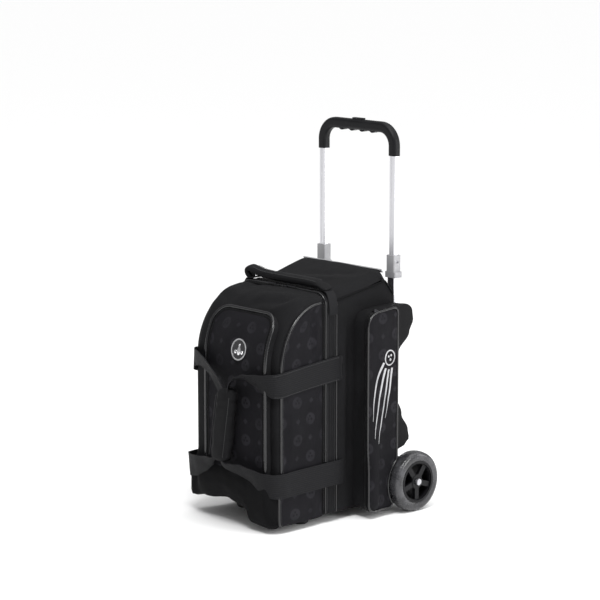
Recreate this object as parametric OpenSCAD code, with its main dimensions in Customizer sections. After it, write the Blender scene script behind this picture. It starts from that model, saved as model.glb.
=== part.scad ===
// Wheeled bowling ball bag with a telescopic handle.
// +Z is up, +X is the bag's own right seen from the front, -Y is the front.
// The origin lies on the floor, midway between the outermost faces in X and in Y.

/* [Bag body] */
// Width of the fabric body
body_w = 248; // [230:1:260]
// Distance from the middle to the body's front face
body_front = 172; // [165:1:174]
// Distance from the middle to the body's back face
body_back = 155; // [150:1:155]
// Height of the fabric bottom above the floor
body_bottom = 16; // [12:1:20]
// Height of the top at the main zip
top_front = 469; // [450:1:480]
// Height of the top at the back edge
top_back = 500; // [490:1:510]
// Thickness of the padded fabric wall
wall = 4; // [3:0.5:6]
// Distance from the middle to the main zip
zip_setback = 52; // [45:1:60]
// Width of the taped band behind the main zip
band_w = 43; // [36:1:46]
// Height of the line where the top of the cover folds forward
fold_z = 336; // [334:1:338]

/* [Front pocket] */
// Width of the front pocket
front_pocket_w = 180; // [170:1:184]
// How far the front pocket sits to the right of the bag's middle
front_pocket_x = 14; // [0:1:14]
// Depth of the front pocket
front_pocket_d = 14; // [10:1:14]
// Height of the front pocket's top edge
front_pocket_top = 431; // [420:1:434]
// Outer radius of the round badge
badge_r = 22; // [18:1:24]

/* [Side pockets] */
// How far each side pocket stands out from the body
pocket_d = 43; // [38:1:45]
// Distance from the middle to the side pocket's front face
pocket_y = 32; // [28:1:36]
// Height of the side pocket's top edge
pocket_top = 424; // [410:1:430]
// Width of the opening panel, from its zip to its fold
door_w = 58; // [50:1:60]

/* [Web handles] */
// Width of the webbing
web_w = 50; // [45:1:52]
// Thickness of the webbing
web_t = 2.5; // [2:0.5:3]
// Height of the lower edge of the upper leg at the front
web_high = 280; // [276:1:280]
// Height of the lower edge of the lower leg
web_low = 76; // [70:1:80]
// Length of the padded wrap that joins the two handles
wrap_h = 148; // [130:1:150]

/* [Wheels] */
// Diameter of the wheels, a 5 inch size
wheel_dia = 125; // [120:1:126]
// Width of the tyres
tyre_w = 35; // [30:1:36]
// Distance between the tyres' inner faces
wheel_gap = 308; // [306:1:312]
// Distance from the middle to the axle
axle_y = 160; // [158:1:162]
// Diameter of the axle
axle_dia = 8; // [6:0.5:10]

/* [Telescopic handle] */
// Distance between the two tubes
tube_gap = 207; // [200:1:210]
// Width of an inner tube
inner_w = 16; // [14:0.5:16]
// Depth of an inner tube
inner_d = 13.5; // [12:0.5:13.5]
// Distance from the middle to the tubes
tube_y = 168; // [168:1:172]
// Height of the top of the outer tubes
outer_top = 522; // [515:1:530]
// Height of the grip's top as stored here, part way up
grip_top = 795; // [780:1:800]
// Travel of the release button
button_travel = 4; // [3:0.5:4]

/* [Hidden] */
$fn = 48;

gap = 0.3;                      // clearance between pieces that move past each other
half_w = body_w / 2;
zip_y = -zip_setback;
band_back = zip_y + band_w;
front_face = -body_front - front_pocket_d;
cover_r = 24;                   // rounding of the cover's top and front corners
arc_y = 115;                    // how far back the cover's rounded top reaches
arc_z = 140;                    // how high the cover's rounded top is
tape_t = 1.2;
zip_t = 1.5;
back_shoulder = 454;            // height where the back starts to slant to the top edge
top_edge_y = 119;               // where the top meets the slanted back
wheel_r = wheel_dia / 2;
hub_r = 44;
tyre_inner_x = wheel_gap / 2;
outer_w = inner_w + 4;
outer_d = inner_d + 4;
outer_bore_w = inner_w + 1;
outer_bore_d = inner_d + 1;
outer_bottom = 78;
inner_bottom = 290;
tube_x = tube_gap / 2;
grip_w = 22;                    // thickness of the grip, seen from the front
grip_d = 19;                    // depth of the grip
grip_r = 48;                    // outer radius of the grip's bends
grip_wall = 2.5;
grip_legs_z = 728;
bend_x = tube_x + grip_w / 2 - grip_r;
bend_z = grip_top - grip_r;
bar_z = grip_top - grip_w / 2;
rod_dia = 4;
pin_z = 310;
pin_dia = 5;
wrap_x = 10;
wrap_w = 56;
wrap_z = 143;
wrap_front = -222.5;
wrap_back = -196;
web_y = -207;                   // front face of the webbing across the front
web_bend = 30;                  // outer radius of the webbing's bend
web_x = half_w + 3.8;           // inner face of the webbing, clear of the piping
foot_x = 85;
foot_y = -75;
screw_x = 60;
badge_x = front_pocket_x + 10;
badge_y = front_face + 2.8;
badge_z = 363;
badge_lean = 11.5;
grab_y = -27;                   // middle of the grab handle
grab_w = 28;

fabric = "#1d1d20";
fabric_light = "#2a2a2d";
webbing = "#303033";
plastic = "#151517";
silver = "#c4c5c9";
grey = "#8d8e92";
smoke = "#5a5a60";

// ---- general shapes -------------------------------------------------------------------

// A box between two opposite corners
module box(lo, hi) {
    translate(lo) cube(hi - lo);
}

// A YZ outline drawn out along X from x0 to x1
module along_x(x0, x1) {
    translate([x0, 0, 0]) rotate([90, 0, 90]) linear_extrude(x1 - x0) children();
}

// An XZ outline drawn out along Y from y0 to y1
module along_y(y0, y1) {
    translate([0, y1, 0]) rotate([90, 0, 0]) linear_extrude(y1 - y0) children();
}

// A centred rectangle with round corners
module round_rect(w, d, r) {
    square([w - 2 * r, d], center = true);
    square([w, d - 2 * r], center = true);
    for (x = [-1, 1], y = [-1, 1]) translate([x * (w / 2 - r), y * (d / 2 - r)]) circle(r);
}

// A rectangle from z0 to z1, centred on X, with its top corners round
module arch(w, z0, z1, r) {
    translate([-w / 2, z0]) square([w, z1 - r - z0]);
    translate([-w / 2 + r, z0]) square([w - 2 * r, z1 - z0]);
    for (x = [-1, 1]) translate([x * (w / 2 - r), z1 - r]) circle(r);
}

// An arch-shaped ring of thickness t that lies on an arch w wide
module arch_ring(w, z0, z1, r, t) {
    difference() {
        arch(w + 2 * t, z0, z1 + t, r + t);
        translate([0, -1]) arch(w, z0, z1 + 1, r);
    }
}

// A centred tube of rectangular section
module rect_tube(w, d, bore_w, bore_d, z0, z1, r) {
    translate([0, 0, z0]) linear_extrude(z1 - z0) difference() {
        round_rect(w, d, r);
        round_rect(bore_w, bore_d, r - 1);
    }
}

// ---- fabric body ----------------------------------------------------------------------

// Side outline of the cover: upright front that rolls over into the top
function cover_outline(inset) = concat(
    [[zip_y, body_bottom + inset], [-body_front + inset, body_bottom + inset]],
    [for (a = [0 : 9 : 90]) [
        arc_y - body_front - (arc_y - inset) * cos(a),
        top_front - arc_z + (arc_z - inset) * sin(a)
    ]],
    [[zip_y, top_front - inset]]
);

// Side outline of the rear part: rising top, slanted shoulder, upright back
function rear_outline(inset) = [
    [zip_y, body_bottom + inset], [body_back - inset, body_bottom + inset],
    [body_back - inset, back_shoulder - 0.4 * inset], [top_edge_y - 0.4 * inset, top_back - inset],
    [band_back, top_front - inset], [zip_y, top_front - inset]
];

// The cover as a solid, smaller all round by inset
module cover_form(inset) {
    intersection() {
        along_x(-half_w + inset, half_w - inset) polygon(cover_outline(inset));
        along_y(-body_front, zip_y) arch(body_w - 2 * inset, 0, top_front - inset, cover_r - inset);
        linear_extrude(top_back) rotate(180)
            arch(body_w - 2 * inset, -zip_y, body_front - inset, cover_r - inset);
    }
}

module cover_shell(z0, z1) {
    difference() {
        intersection() {
            cover_form(0);
            box([-body_w, -body_front, z0], [body_w, zip_y, z1]);
        }
        cover_form(wall);
    }
}

module cover_lower() {
    color(fabric) cover_shell(0, fold_z);
}

module cover_upper() {
    color(fabric) cover_shell(fold_z + gap, top_back);
}

module rear_form(inset) {
    intersection() {
        along_x(-half_w + inset, half_w - inset) polygon(rear_outline(inset));
        union() {
            along_y(zip_y, band_back)
                arch(body_w - 2 * inset, 0, top_front - inset, cover_r - inset);
            box([-body_w, band_back, 0], [body_w, body_back, top_back]);
        }
    }
}

module body_shell() {
    color(fabric) difference() {
        translate([0, gap, 0]) rear_form(0);
        rear_form(wall);
    }
}

module base_board() {
    color(plastic) box([-half_w + wall + 1, zip_y + 6, body_bottom + wall],
                       [half_w - wall - 1, body_back - wall - 4, body_bottom + wall + 4]);
}

module back_board() {
    color(plastic) box([-half_w + wall + 2, body_back - wall - 3, body_bottom + wall],
                       [half_w - wall - 2, body_back - wall, back_shoulder - 12]);
}

module back_top_trim() {
    run = [body_back - top_edge_y, back_shoulder - top_back];
    along = run / norm(run);
    out = [-along[1], along[0]];
    start = [top_edge_y + gap, top_back];
    color(silver) along_x(-116, 116)
        polygon([start, start + 8 * along, start + 8 * along + 2.5 * out, start + 2.5 * out]);
}

module band_tape() {
    color(fabric_light) along_y(zip_y + 6, band_back - 4)
        arch_ring(body_w, 30, top_front, cover_r, tape_t);
}

module band_piping() {
    color(fabric_light) for (y = [zip_y + 6, band_back - 8]) along_y(y, y + 4)
        arch_ring(body_w + 2 * tape_t, 30, top_front + tape_t, cover_r + tape_t, 2.3);
}

module main_zip() {
    color(plastic) along_y(zip_y + 0.6, zip_y + 4.6)
        arch_ring(body_w, 30, top_front, cover_r, zip_t);
}

// Round foam seat that keeps a ball 216 mm across from rolling
module ball_cup() {
    ball_r = 108;
    cup_bottom = body_bottom + wall + 4;
    color("#333336") translate([0, 38, cup_bottom]) difference() {
        cylinder(h = 36, r = 95);
        translate([0, 0, ball_r + 6]) sphere(ball_r);
        translate([0, 0, -1]) cylinder(h = 40, r = 30);
    }
}

// ---- front pocket ---------------------------------------------------------------------

module front_pocket(z0, z1) {
    translate([front_pocket_x, 0, 0]) difference() {
        intersection() {
            along_y(front_face, -body_front) arch(front_pocket_w, 26, front_pocket_top, 30);
            box([-body_w, front_face, z0], [body_w, -body_front, z1]);
        }
        along_y(front_face + 3, 0) arch(front_pocket_w - 6, 29, front_pocket_top - 3, 27);
    }
}

module front_pocket_lower() {
    color(fabric) front_pocket(0, fold_z);
}

// The upper part follows the cover where it starts to roll back
module front_pocket_upper() {
    color(fabric) translate([front_pocket_x, 0, 0]) difference() {
        intersection() {
            along_x(-front_pocket_w / 2, front_pocket_w / 2)
                translate([-front_pocket_d, 0]) polygon(cover_outline(0));
            along_y(front_face, zip_y - 30) arch(front_pocket_w, 26, front_pocket_top, 30);
            box([-body_w, front_face, fold_z + gap], [body_w, zip_y, top_back]);
        }
        along_x(-body_w, body_w) polygon(cover_outline(0));
        intersection() {
            along_x(-front_pocket_w / 2 + 3, front_pocket_w / 2 - 3)
                translate([-front_pocket_d, 0]) polygon(cover_outline(3));
            along_y(front_face, zip_y) arch(front_pocket_w - 6, 29, front_pocket_top - 3, 27);
        }
    }
}

// The badge leans back with the pocket's curved face
module badge_at() {
    translate([badge_x, badge_y, badge_z]) rotate([90 - badge_lean, 0, 0]) children();
}

module badge_ring() {
    color(silver) badge_at() rotate_extrude() translate([badge_r - 3, 0]) square([3, 2.5]);
}

module badge_disc() {
    color(plastic) badge_at() cylinder(h = 1.5, r = badge_r - 3);
}

// ---- side pockets ---------------------------------------------------------------------

// Side outline of a pocket: its back is pinched at mid height and arched over the wheel
module pocket_outline(inset) {
    difference() {
        polygon([
            [pocket_y + inset, body_bottom + inset],
            [126 - inset, body_bottom + inset],
            [126 - inset, 128 + inset],
            [150 - inset, 146 + inset],
            [146 - inset, 170],
            [119 - inset, 250],
            [119 - inset, 300],
            [150 - inset, 380],
            [155 - inset, 400],
            [144 - inset, pocket_top + 4 - inset],
            [pocket_y + inset, pocket_top - inset]
        ]);
        translate([axle_y, wheel_r]) circle(wheel_r + 3.5 + inset);
    }
}

module side_pocket(side) {
    inner = half_w;
    outer = half_w + pocket_d;
    mirror([side < 0 ? 1 : 0, 0, 0]) difference() {
        along_x(inner + gap, outer) pocket_outline(0);
        along_x(inner + 3, outer - 3.5) pocket_outline(3);
        box([outer - 5, pocket_y + 4, 24], [outer + 1, pocket_y + 4 + door_w, pocket_top - 10]);
    }
}

module pocket_door(side) {
    outer = half_w + pocket_d;
    mirror([side < 0 ? 1 : 0, 0, 0])
        box([outer - 3.5, pocket_y + 4 + gap, 24 + gap],
            [outer, pocket_y + 4 + door_w - gap, pocket_top - 10 - gap]);
}

// Zip slider on top of a side pocket
module pocket_slider(side) {
    outer = half_w + pocket_d;
    mirror([side < 0 ? 1 : 0, 0, 0]) color(grey) {
        box([outer - 8, 52, pocket_top + 3.2], [outer - 1, 62, pocket_top + 6.5]);
        box([outer - 6, 54, pocket_top + 6.5], [outer - 3, 60, pocket_top + 8.5]);
    }
}

module side_pocket_left() { color(fabric) side_pocket(-1); }
module side_pocket_right() { color(fabric) side_pocket(1); }
module pocket_door_left() { color(fabric) pocket_door(-1); }
module pocket_door_right() { color(fabric) pocket_door(1); }
module pocket_slider_left() { pocket_slider(-1); }
module pocket_slider_right() { pocket_slider(1); }

// ---- web handles ----------------------------------------------------------------------

// One run of webbing round the front corner, from the side at height z to the wrap
module web_bend_and_front(z, inner_x) {
    centre_x = web_x + web_t - web_bend;
    centre_y = web_y + web_bend;
    translate([centre_x, centre_y, z]) rotate(-90) rotate_extrude(angle = 90)
        translate([web_bend - web_t, 0]) square([web_t, web_w]);
    box([inner_x, web_y, z], [centre_x, web_y + web_t, z + web_w]);
}

module web_handle(inner_x) {
    corner_y = web_y + web_bend;
    rear_y = 5;
    rise = 13;
    along_x(web_x, web_x + web_t) polygon([
        [corner_y, web_high], [rear_y, web_high + rise],
        [rear_y, web_high + rise + web_w], [corner_y, web_high + web_w]
    ]);
    box([web_x, corner_y, web_low], [web_x + web_t, rear_y, web_low + web_w]);
    web_bend_and_front(web_high, inner_x);
    web_bend_and_front(web_low, inner_x);
    box([inner_x, web_y, web_low], [inner_x + 25, web_y + web_t, web_high + web_w]);
    for (z = [web_low, web_high + rise]) box([half_w, 1, z + 1], [web_x, rear_y, z + web_w - 1]);
}

module web_handle_right() {
    color(webbing) web_handle(wrap_x + 0.2);
}

module web_handle_left() {
    color(webbing) mirror([1, 0, 0]) web_handle(-wrap_x + 0.2);
}

module handle_wrap() {
    slot_w = wrap_w - 4;
    depth = wrap_back - wrap_front;
    color(fabric_light) translate([wrap_x, (wrap_front + wrap_back) / 2, wrap_z]) difference() {
        linear_extrude(wrap_h) round_rect(wrap_w, depth, 9);
        translate([-slot_w / 2, web_y - gap - (wrap_front + wrap_back) / 2, -1])
            cube([slot_w, web_t + 2 * gap, wrap_h + 2]);
        translate([-wrap_w, web_y - gap - (wrap_front + wrap_back) / 2, web_high - gap - wrap_z])
            cube([2 * wrap_w, web_t + 2 * gap, wrap_h]);
    }
}

// ---- grab handle ----------------------------------------------------------------------

// Band bent into a low arch: outline in the XZ plane
module grab_arch() {
    half = 118;
    rise = 24;
    low = top_front + 9;
    thick = 9;
    r = (half * half + rise * rise) / (2 * rise);
    intersection() {
        translate([-half, low]) square([2 * half, rise + thick]);
        difference() {
            translate([0, low + rise + thick - r]) circle(r, $fn = 256);
            translate([0, low + rise - r]) circle(r, $fn = 256);
        }
    }
}

module grab_handle() {
    color(fabric_light) along_y(grab_y - grab_w / 2, grab_y + grab_w / 2) grab_arch();
}

// Sewn tabs under the ends of the grab handle
module grab_handle_anchors() {
    color(webbing) difference() {
        for (x = [-1, 1]) translate([x * 110, 0, 0])
            box([-7, grab_y - 1.3, top_front - 20], [7, grab_y + 1.3, top_front + 8]);
        along_y(grab_y - 10, grab_y + 10)
            arch(body_w + 2 * tape_t, 0, top_front + tape_t, cover_r + tape_t);
    }
}

// ---- base, feet and axle --------------------------------------------------------------

module front_feet() {
    color(plastic) for (x = [-1, 1]) translate([x * foot_x, foot_y, 0]) rotate_extrude()
        polygon([[0, 0], [13, 0], [16, 3], [18, body_bottom], [0, body_bottom]]);
}

module rear_base() {
    end_x = tyre_inner_x - 6;
    color(plastic) difference() {
        along_x(-end_x, end_x) polygon([
            [body_back + gap, 34], [body_back + 20, 34], [body_back + 29, 44],
            [body_back + 29, 92], [body_back + 24, 100], [body_back + gap, 100]
        ]);
        for (x = [-1, 1]) translate([x * tube_x, tube_y, outer_bottom])
            linear_extrude(60) round_rect(outer_w, outer_d, 3);
        translate([-200, axle_y, wheel_r]) rotate([0, 90, 0]) cylinder(h = 400, d = axle_dia);
        for (x = [-1, 1], z = [50, 86])
            translate([x * screw_x, 100, z]) rotate([-90, 0, 0]) cylinder(h = 100, d = 4);
    }
}

module upper_bracket() {
    color(grey) difference() {
        box([-118, body_back + gap, 424], [118, tube_y - outer_d / 2, 444]);
        for (x = [-1, 1]) translate([x * screw_x, 100, 434]) rotate([-90, 0, 0])
            cylinder(h = 100, d = 4);
    }
}

// A pan-head screw that points along -Y with its head's back face at y
module screw(x, y, z, length) {
    translate([x, y, z]) rotate([90, 0, 0]) cylinder(h = length, d = 4);
    translate([x, y + 3, z]) rotate([90, 0, 0]) cylinder(h = 3, d = 9);
}

module screws() {
    color(silver) for (x = [-1, 1]) {
        for (z = [50, 86]) screw(x * screw_x, body_back + 29, z, 28.5);
        screw(x * screw_x, tube_y - outer_d / 2, 434, 3.8);
    }
}

module axle() {
    half = tyre_inner_x + tyre_w + 1.2;
    color(grey) translate([-half, axle_y, wheel_r]) rotate([0, 90, 0])
        cylinder(h = 2 * half, d = axle_dia);
}

module on_axle(side) {
    translate([0, axle_y, wheel_r]) rotate([0, side * 90, 0]) children();
}

module axle_spacers() {
    from = tyre_inner_x - 6;
    color(grey) for (side = [-1, 1]) on_axle(side) translate([0, 0, from]) difference() {
        cylinder(h = 5.5, d = 14);
        translate([0, 0, -1]) cylinder(h = 8, d = axle_dia);
    }
}

module axle_nuts() {
    from = tyre_inner_x + tyre_w - 2;
    color(silver) for (side = [-1, 1]) on_axle(side) translate([0, 0, from]) difference() {
        union() {
            cylinder(h = 3.4, d = 14.5, $fn = 6);
            translate([0, 0, 3.4]) cylinder(h = 0.9, d = 11);
        }
        translate([0, 0, -1]) cylinder(h = 4.4, d = axle_dia);
    }
}

// ---- wheels ---------------------------------------------------------------------------

module tyre(side) {
    color(smoke) on_axle(side) translate([0, 0, tyre_inner_x]) rotate_extrude($fn = 96) {
        translate([hub_r, 1.5]) square([8, tyre_w - 3]);
        translate([(wheel_r + hub_r) / 2 + 2, tyre_w / 2]) round_rect(wheel_r - hub_r - 4, tyre_w, 6);
    }
}

// Five-spoked disc with a deep rim, its open face outwards
module hub(side) {
    face_z = tyre_w - 8;
    color(plastic) on_axle(side) translate([0, 0, tyre_inner_x]) difference() {
        union() {
            difference() {
                translate([0, 0, 1.5]) cylinder(h = tyre_w - 3, r = hub_r - 0.1);
                translate([0, 0, face_z + 3]) cylinder(h = tyre_w, r = hub_r - 5);
                translate([0, 0, -1]) cylinder(h = face_z - 3, r = hub_r - 5);
                translate([0, 0, -1]) linear_extrude(tyre_w + 2) difference() {
                    circle(hub_r - 7);
                    circle(15);
                    for (a = [0 : 72 : 288]) rotate(a) translate([0, -5.5]) square([hub_r, 11]);
                }
            }
            cylinder(h = face_z + 4, r = 14);
        }
        translate([0, 0, -1]) cylinder(h = tyre_w + 2, d = 12);
    }
}

module bearings(side) {
    length = 7;
    color(grey) on_axle(side) for (z = [tyre_inner_x, tyre_inner_x + tyre_w - 4 - length - 0.5])
        translate([0, 0, z]) difference() {
            cylinder(h = length, d = 11.96);
            translate([0, 0, -1]) cylinder(h = length + 2, d = axle_dia + 0.12);
        }
}

module tyre_left() { tyre(-1); }
module tyre_right() { tyre(1); }
module hub_left() { hub(-1); }
module hub_right() { hub(1); }
module bearings_left() { bearings(-1); }
module bearings_right() { bearings(1); }

// ---- telescopic handle ----------------------------------------------------------------

module outer_tube(side) {
    color(silver) translate([side * tube_x, tube_y, 0]) difference() {
        rect_tube(outer_w, outer_d, outer_bore_w, outer_bore_d, outer_bottom, outer_top, 3);
        translate([0, 0, outer_top - 12]) rotate([0, side * 90, 0]) cylinder(h = 20, d = 5.6);
    }
}

module tube_collar(side) {
    lip = 2;
    color(grey) translate([side * tube_x, tube_y, 0]) difference() {
        union() {
            rect_tube(outer_w + 3, outer_d + 3, outer_w, outer_d, 480, outer_top, 3);
            rect_tube(outer_w + 3, outer_d + 3, inner_w + 0.7, inner_d + 0.7, outer_top,
                      outer_top + lip, 3);
            rect_tube(outer_w + 10, outer_d + 4, outer_w, outer_d, 478, 490, 3);
        }
        translate([0, 0, outer_top - 12]) rotate([0, side * 90, 0]) cylinder(h = 20, d = 6);
    }
}

module inner_tube(side) {
    color(silver) translate([side * tube_x, tube_y, 0]) difference() {
        rect_tube(inner_w, inner_d, inner_w - 3, inner_d - 3, inner_bottom, grip_legs_z + 16, 3);
        translate([0, 0, pin_z]) rotate([0, side * 90, 0]) cylinder(h = 20, d = pin_dia + 0.1);
        for (y = [-1, 1]) translate([0, y * inner_d / 2, inner_bottom - 1])
            linear_extrude(500) square([1.2, 0.8], center = true);
    }
}

module tube_bushes() {
    color(plastic) for (x = [-1, 1]) translate([x * tube_x, tube_y, inner_bottom - 6]) {
        linear_extrude(6) round_rect(inner_w + 0.6, inner_d + 0.6, 3);
        translate([0, 0, 6]) linear_extrude(10) round_rect(inner_w - 3, inner_d - 3, 2);
    }
}

// The grip's bent bar: a bar, two bends and two legs of the same section
module grip_sweep(w, d, r, legs_z) {
    translate([-bend_x, 0, bar_z]) rotate([0, 90, 0]) linear_extrude(2 * bend_x)
        round_rect(w, d, r);
    for (side = [-1, 1]) mirror([side < 0 ? 1 : 0, 0, 0]) {
        translate([bend_x, 0, bend_z]) rotate([90, 0, 0]) rotate_extrude(angle = 90)
            translate([grip_r - grip_w / 2, 0]) round_rect(w, d, r);
        translate([tube_x, 0, legs_z]) linear_extrude(bend_z - legs_z) round_rect(w, d, r);
    }
}

module grip_solid() {
    translate([0, tube_y, 0]) difference() {
        union() {
            grip_sweep(grip_w, grip_d, 7, grip_legs_z);
            for (x = [-45 : 30 : 45]) translate([x, grip_d / 2 - 3.5, bar_z - 2.5])
                rotate([90, 0, 0]) cylinder(h = grip_d - 7, r = 11);
        }
        grip_sweep(grip_w - 2 * grip_wall, grip_d - 2 * grip_wall, 4, grip_legs_z - 1);
        translate([0, 0, bar_z]) linear_extrude(30) round_rect(34.6, 11.6, 5.7);
    }
}

module grip_front() {
    color(plastic) intersection() {
        grip_solid();
        box([-200, 100, 700], [200, tube_y, 900]);
    }
}

module grip_rear() {
    color(plastic) intersection() {
        grip_solid();
        box([-200, tube_y, 700], [200, 300, 900]);
    }
}

module button() {
    color(plastic) translate([0, tube_y, bar_z + 3]) linear_extrude(grip_w / 2) round_rect(34, 11, 5.4);
}

module release_yoke() {
    color(plastic) translate([0, tube_y, 0]) {
        translate([-bend_x, -3, bar_z - 2]) cube([2 * bend_x, 6, 5]);
        for (side = [-1, 1]) mirror([side < 0 ? 1 : 0, 0, 0])
            translate([bend_x, 3, bend_z]) rotate([90, 0, 0]) rotate_extrude(angle = 90)
                translate([grip_r - grip_w / 2 - 2, 0]) square([5, 6]);
    }
}

module release_rods() {
    color(grey) for (x = [-1, 1]) translate([x * tube_x, tube_y, pin_z + 12])
        cylinder(h = bend_z - pin_z - 12, d = rod_dia);
}

// Compression spring between the grip's floor and the yoke, drawn as its separate turns
module button_spring() {
    coil_r = 3.2;
    wire_r = 0.6;
    floor_z = bar_z - grip_w / 2 + grip_wall;
    for (turn = [0 : 2]) color(silver) translate([0, tube_y, floor_z + 0.1 + wire_r + 2.5 * turn])
        rotate_extrude() translate([coil_r, 0]) circle(wire_r);
}

// Spring pin that rides against the outer tube's wall between its lock holes
module lock_pin(side) {
    color(grey) translate([side * (tube_x + inner_w / 2 + gap), tube_y, pin_z])
        rotate([0, -side * 90, 0]) cylinder(h = 7.5, d = pin_dia);
}

module outer_tube_left() { outer_tube(-1); }
module outer_tube_right() { outer_tube(1); }
module tube_collar_left() { tube_collar(-1); }
module tube_collar_right() { tube_collar(1); }
module inner_tube_left() { inner_tube(-1); }
module inner_tube_right() { inner_tube(1); }
module lock_pin_left() { lock_pin(-1); }
module lock_pin_right() { lock_pin(1); }

// ---- zip sliders ----------------------------------------------------------------------

slider_z = top_front + zip_t + gap;
slider_top = slider_z + 3;
tab_pivot_x = 17;
tab_pivot_z = slider_top + 1.6;
slider_y = zip_y + 3.2;

// Slider body with two ears that hold the pull tab's pin
module zip_slider(side) {
    mirror([side < 0 ? 1 : 0, 0, 0]) color(grey) {
        box([6, slider_y - 2.4, slider_z], [18.5, slider_y + 2.4, slider_top]);
        for (y = [-2.4, 1.8])
            box([15.5, slider_y + y, slider_top], [18.5, slider_y + y + 0.6, slider_top + 2.6]);
        translate([tab_pivot_x, slider_y + 1.8, tab_pivot_z]) rotate([90, 0, 0])
            cylinder(h = 3.6, d = 0.8);
    }
}

// Pull tab, narrow between the ears and wide beyond them
module pull_tab(side) {
    mirror([side < 0 ? 1 : 0, 0, 0]) color(grey) difference() {
        union() {
            translate([tab_pivot_x, slider_y + 1.4, tab_pivot_z]) rotate([90, 0, 0])
                cylinder(h = 2.8, d = 1.8);
            box([tab_pivot_x, slider_y - 1.4, tab_pivot_z - 0.8],
                [tab_pivot_x + 4, slider_y + 1.4, tab_pivot_z + 0.8]);
            box([tab_pivot_x + 3, slider_y - 2.4, tab_pivot_z - 0.8],
                [tab_pivot_x + 25, slider_y + 2.4, tab_pivot_z + 0.8]);
        }
        translate([tab_pivot_x, slider_y + 3, tab_pivot_z]) rotate([90, 0, 0])
            cylinder(h = 6, d = 1);
    }
}

module zip_slider_left() { zip_slider(-1); }
module zip_slider_right() { zip_slider(1); }
module pull_tab_left() { pull_tab(-1); }
module pull_tab_right() { pull_tab(1); }

module front_slider() {
    right = front_pocket_x + front_pocket_w / 2 - 7;
    color(grey) box([right - 8, front_face - 4.5, 44], [right, front_face - gap, 56]);
}

base_board();
back_board();
body_shell();
back_top_trim();
band_tape();
band_piping();
main_zip();
cover_lower();
front_pocket_lower();
side_pocket_left();
side_pocket_right();
web_handle_left();
web_handle_right();
handle_wrap();
ball_cup();
front_feet();
screws();
axle();
axle_spacers();
axle_nuts();
rear_base();
upper_bracket();
outer_tube_left();
outer_tube_right();
tube_collar_left();
tube_collar_right();
grab_handle_anchors();
cover_upper();
front_pocket_upper();
badge_ring();
badge_disc();
inner_tube_left();
inner_tube_right();
tube_bushes();
grip_front();
grip_rear();
button();
release_yoke();
release_rods();
button_spring();
lock_pin_left();
lock_pin_right();
tyre_left();
hub_left();
bearings_left();
tyre_right();
hub_right();
bearings_right();
pocket_door_left();
pocket_door_right();
grab_handle();
zip_slider_left();
zip_slider_right();
pull_tab_left();
pull_tab_right();
pocket_slider_left();
pocket_slider_right();
front_slider();
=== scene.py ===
import math

import bpy
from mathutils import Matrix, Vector, noise


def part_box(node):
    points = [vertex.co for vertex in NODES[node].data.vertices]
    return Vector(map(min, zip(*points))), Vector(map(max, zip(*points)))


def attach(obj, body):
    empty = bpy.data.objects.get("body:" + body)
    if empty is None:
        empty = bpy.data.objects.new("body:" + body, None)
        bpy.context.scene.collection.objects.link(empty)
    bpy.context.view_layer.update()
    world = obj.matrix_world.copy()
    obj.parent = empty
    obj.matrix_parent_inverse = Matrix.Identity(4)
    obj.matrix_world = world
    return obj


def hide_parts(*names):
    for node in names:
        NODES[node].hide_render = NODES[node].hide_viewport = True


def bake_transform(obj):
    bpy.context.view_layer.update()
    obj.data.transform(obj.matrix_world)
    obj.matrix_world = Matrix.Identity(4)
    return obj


# Looks of a wheeled bowling ball bag. Lengths are in millimetres until a mesh is made.
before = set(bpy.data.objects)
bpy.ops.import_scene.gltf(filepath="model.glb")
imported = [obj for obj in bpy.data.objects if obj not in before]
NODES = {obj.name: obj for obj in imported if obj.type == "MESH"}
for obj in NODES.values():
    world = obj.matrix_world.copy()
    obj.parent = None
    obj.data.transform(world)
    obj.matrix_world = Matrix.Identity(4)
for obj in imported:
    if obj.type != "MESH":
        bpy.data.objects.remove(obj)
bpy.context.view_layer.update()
MM = 0.001
TURN = 2 * math.pi
SIDES = {"left": -1, "right": 1}


def span(node):
    """Lowest and highest corner of a CAD node, in millimetres."""
    lo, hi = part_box(node)
    return lo / MM, hi / MM


def side_name(side):
    return "left" if side < 0 else "right"


SHELL_HI = span("body_shell")[1]
LOWER_LO, LOWER_HI = span("cover_lower")
POCKET_LO, POCKET_HI = span("front_pocket_lower")
POCKET_TOP = span("front_pocket_upper")[1].z
SIDE_LO, SIDE_HI = span("side_pocket_right")
DOOR_HI = span("pocket_door_right")[1]
TAPE_LO, TAPE_HI = span("band_tape")
WEB_LO, WEB_HI = span("web_handle_right")
WRAP_LO, WRAP_HI = span("handle_wrap")
GRAB_LO, GRAB_HI = span("grab_handle")
CUP_LO, CUP_HI = span("ball_cup")
TYRE_LO, TYRE_HI = span("tyre_right")
BADGE_LO, BADGE_HI = span("badge_disc")

HALF_W = SHELL_HI.x
BOTTOM = LOWER_LO.z
FRONT = LOWER_LO.y
ZIP_Y = LOWER_HI.y
TOP = span("cover_upper")[1].z
BACK = SHELL_HI.y
BACK_TOP = SHELL_HI.z
FOLD_Z = LOWER_HI.z
FOLD_START = FOLD_Z - 10
FOLD_END = FOLD_Z + 1
ARC_Y = 115                      # how far back the cover's round top reaches
ARC_Z = 140                      # how high the round top is
SEAM_IN = 9                      # how far the side seam lies inside the front face
SEAM_DOWN = 15                   # and below the top
CORNER_R = 24
TOP_EDGE_Y = BACK - 36           # where the top meets the slanted back
SHOULDER_Z = BACK_TOP - 46       # where the slanted back meets the upright back
BAND_BACK = TAPE_HI.y
ROW = 6                          # usual distance between rows of a cloth mesh


# ---- small maths ----------------------------------------------------------------------

def mix(a, b, t):
    return a + (b - a) * t


def ease(low, high, value):
    """0 below low, 1 above high, and a smooth rise between them."""
    t = min(1.0, max(0.0, (value - low) / (high - low)))
    return t * t * (3 - 2 * t)


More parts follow.
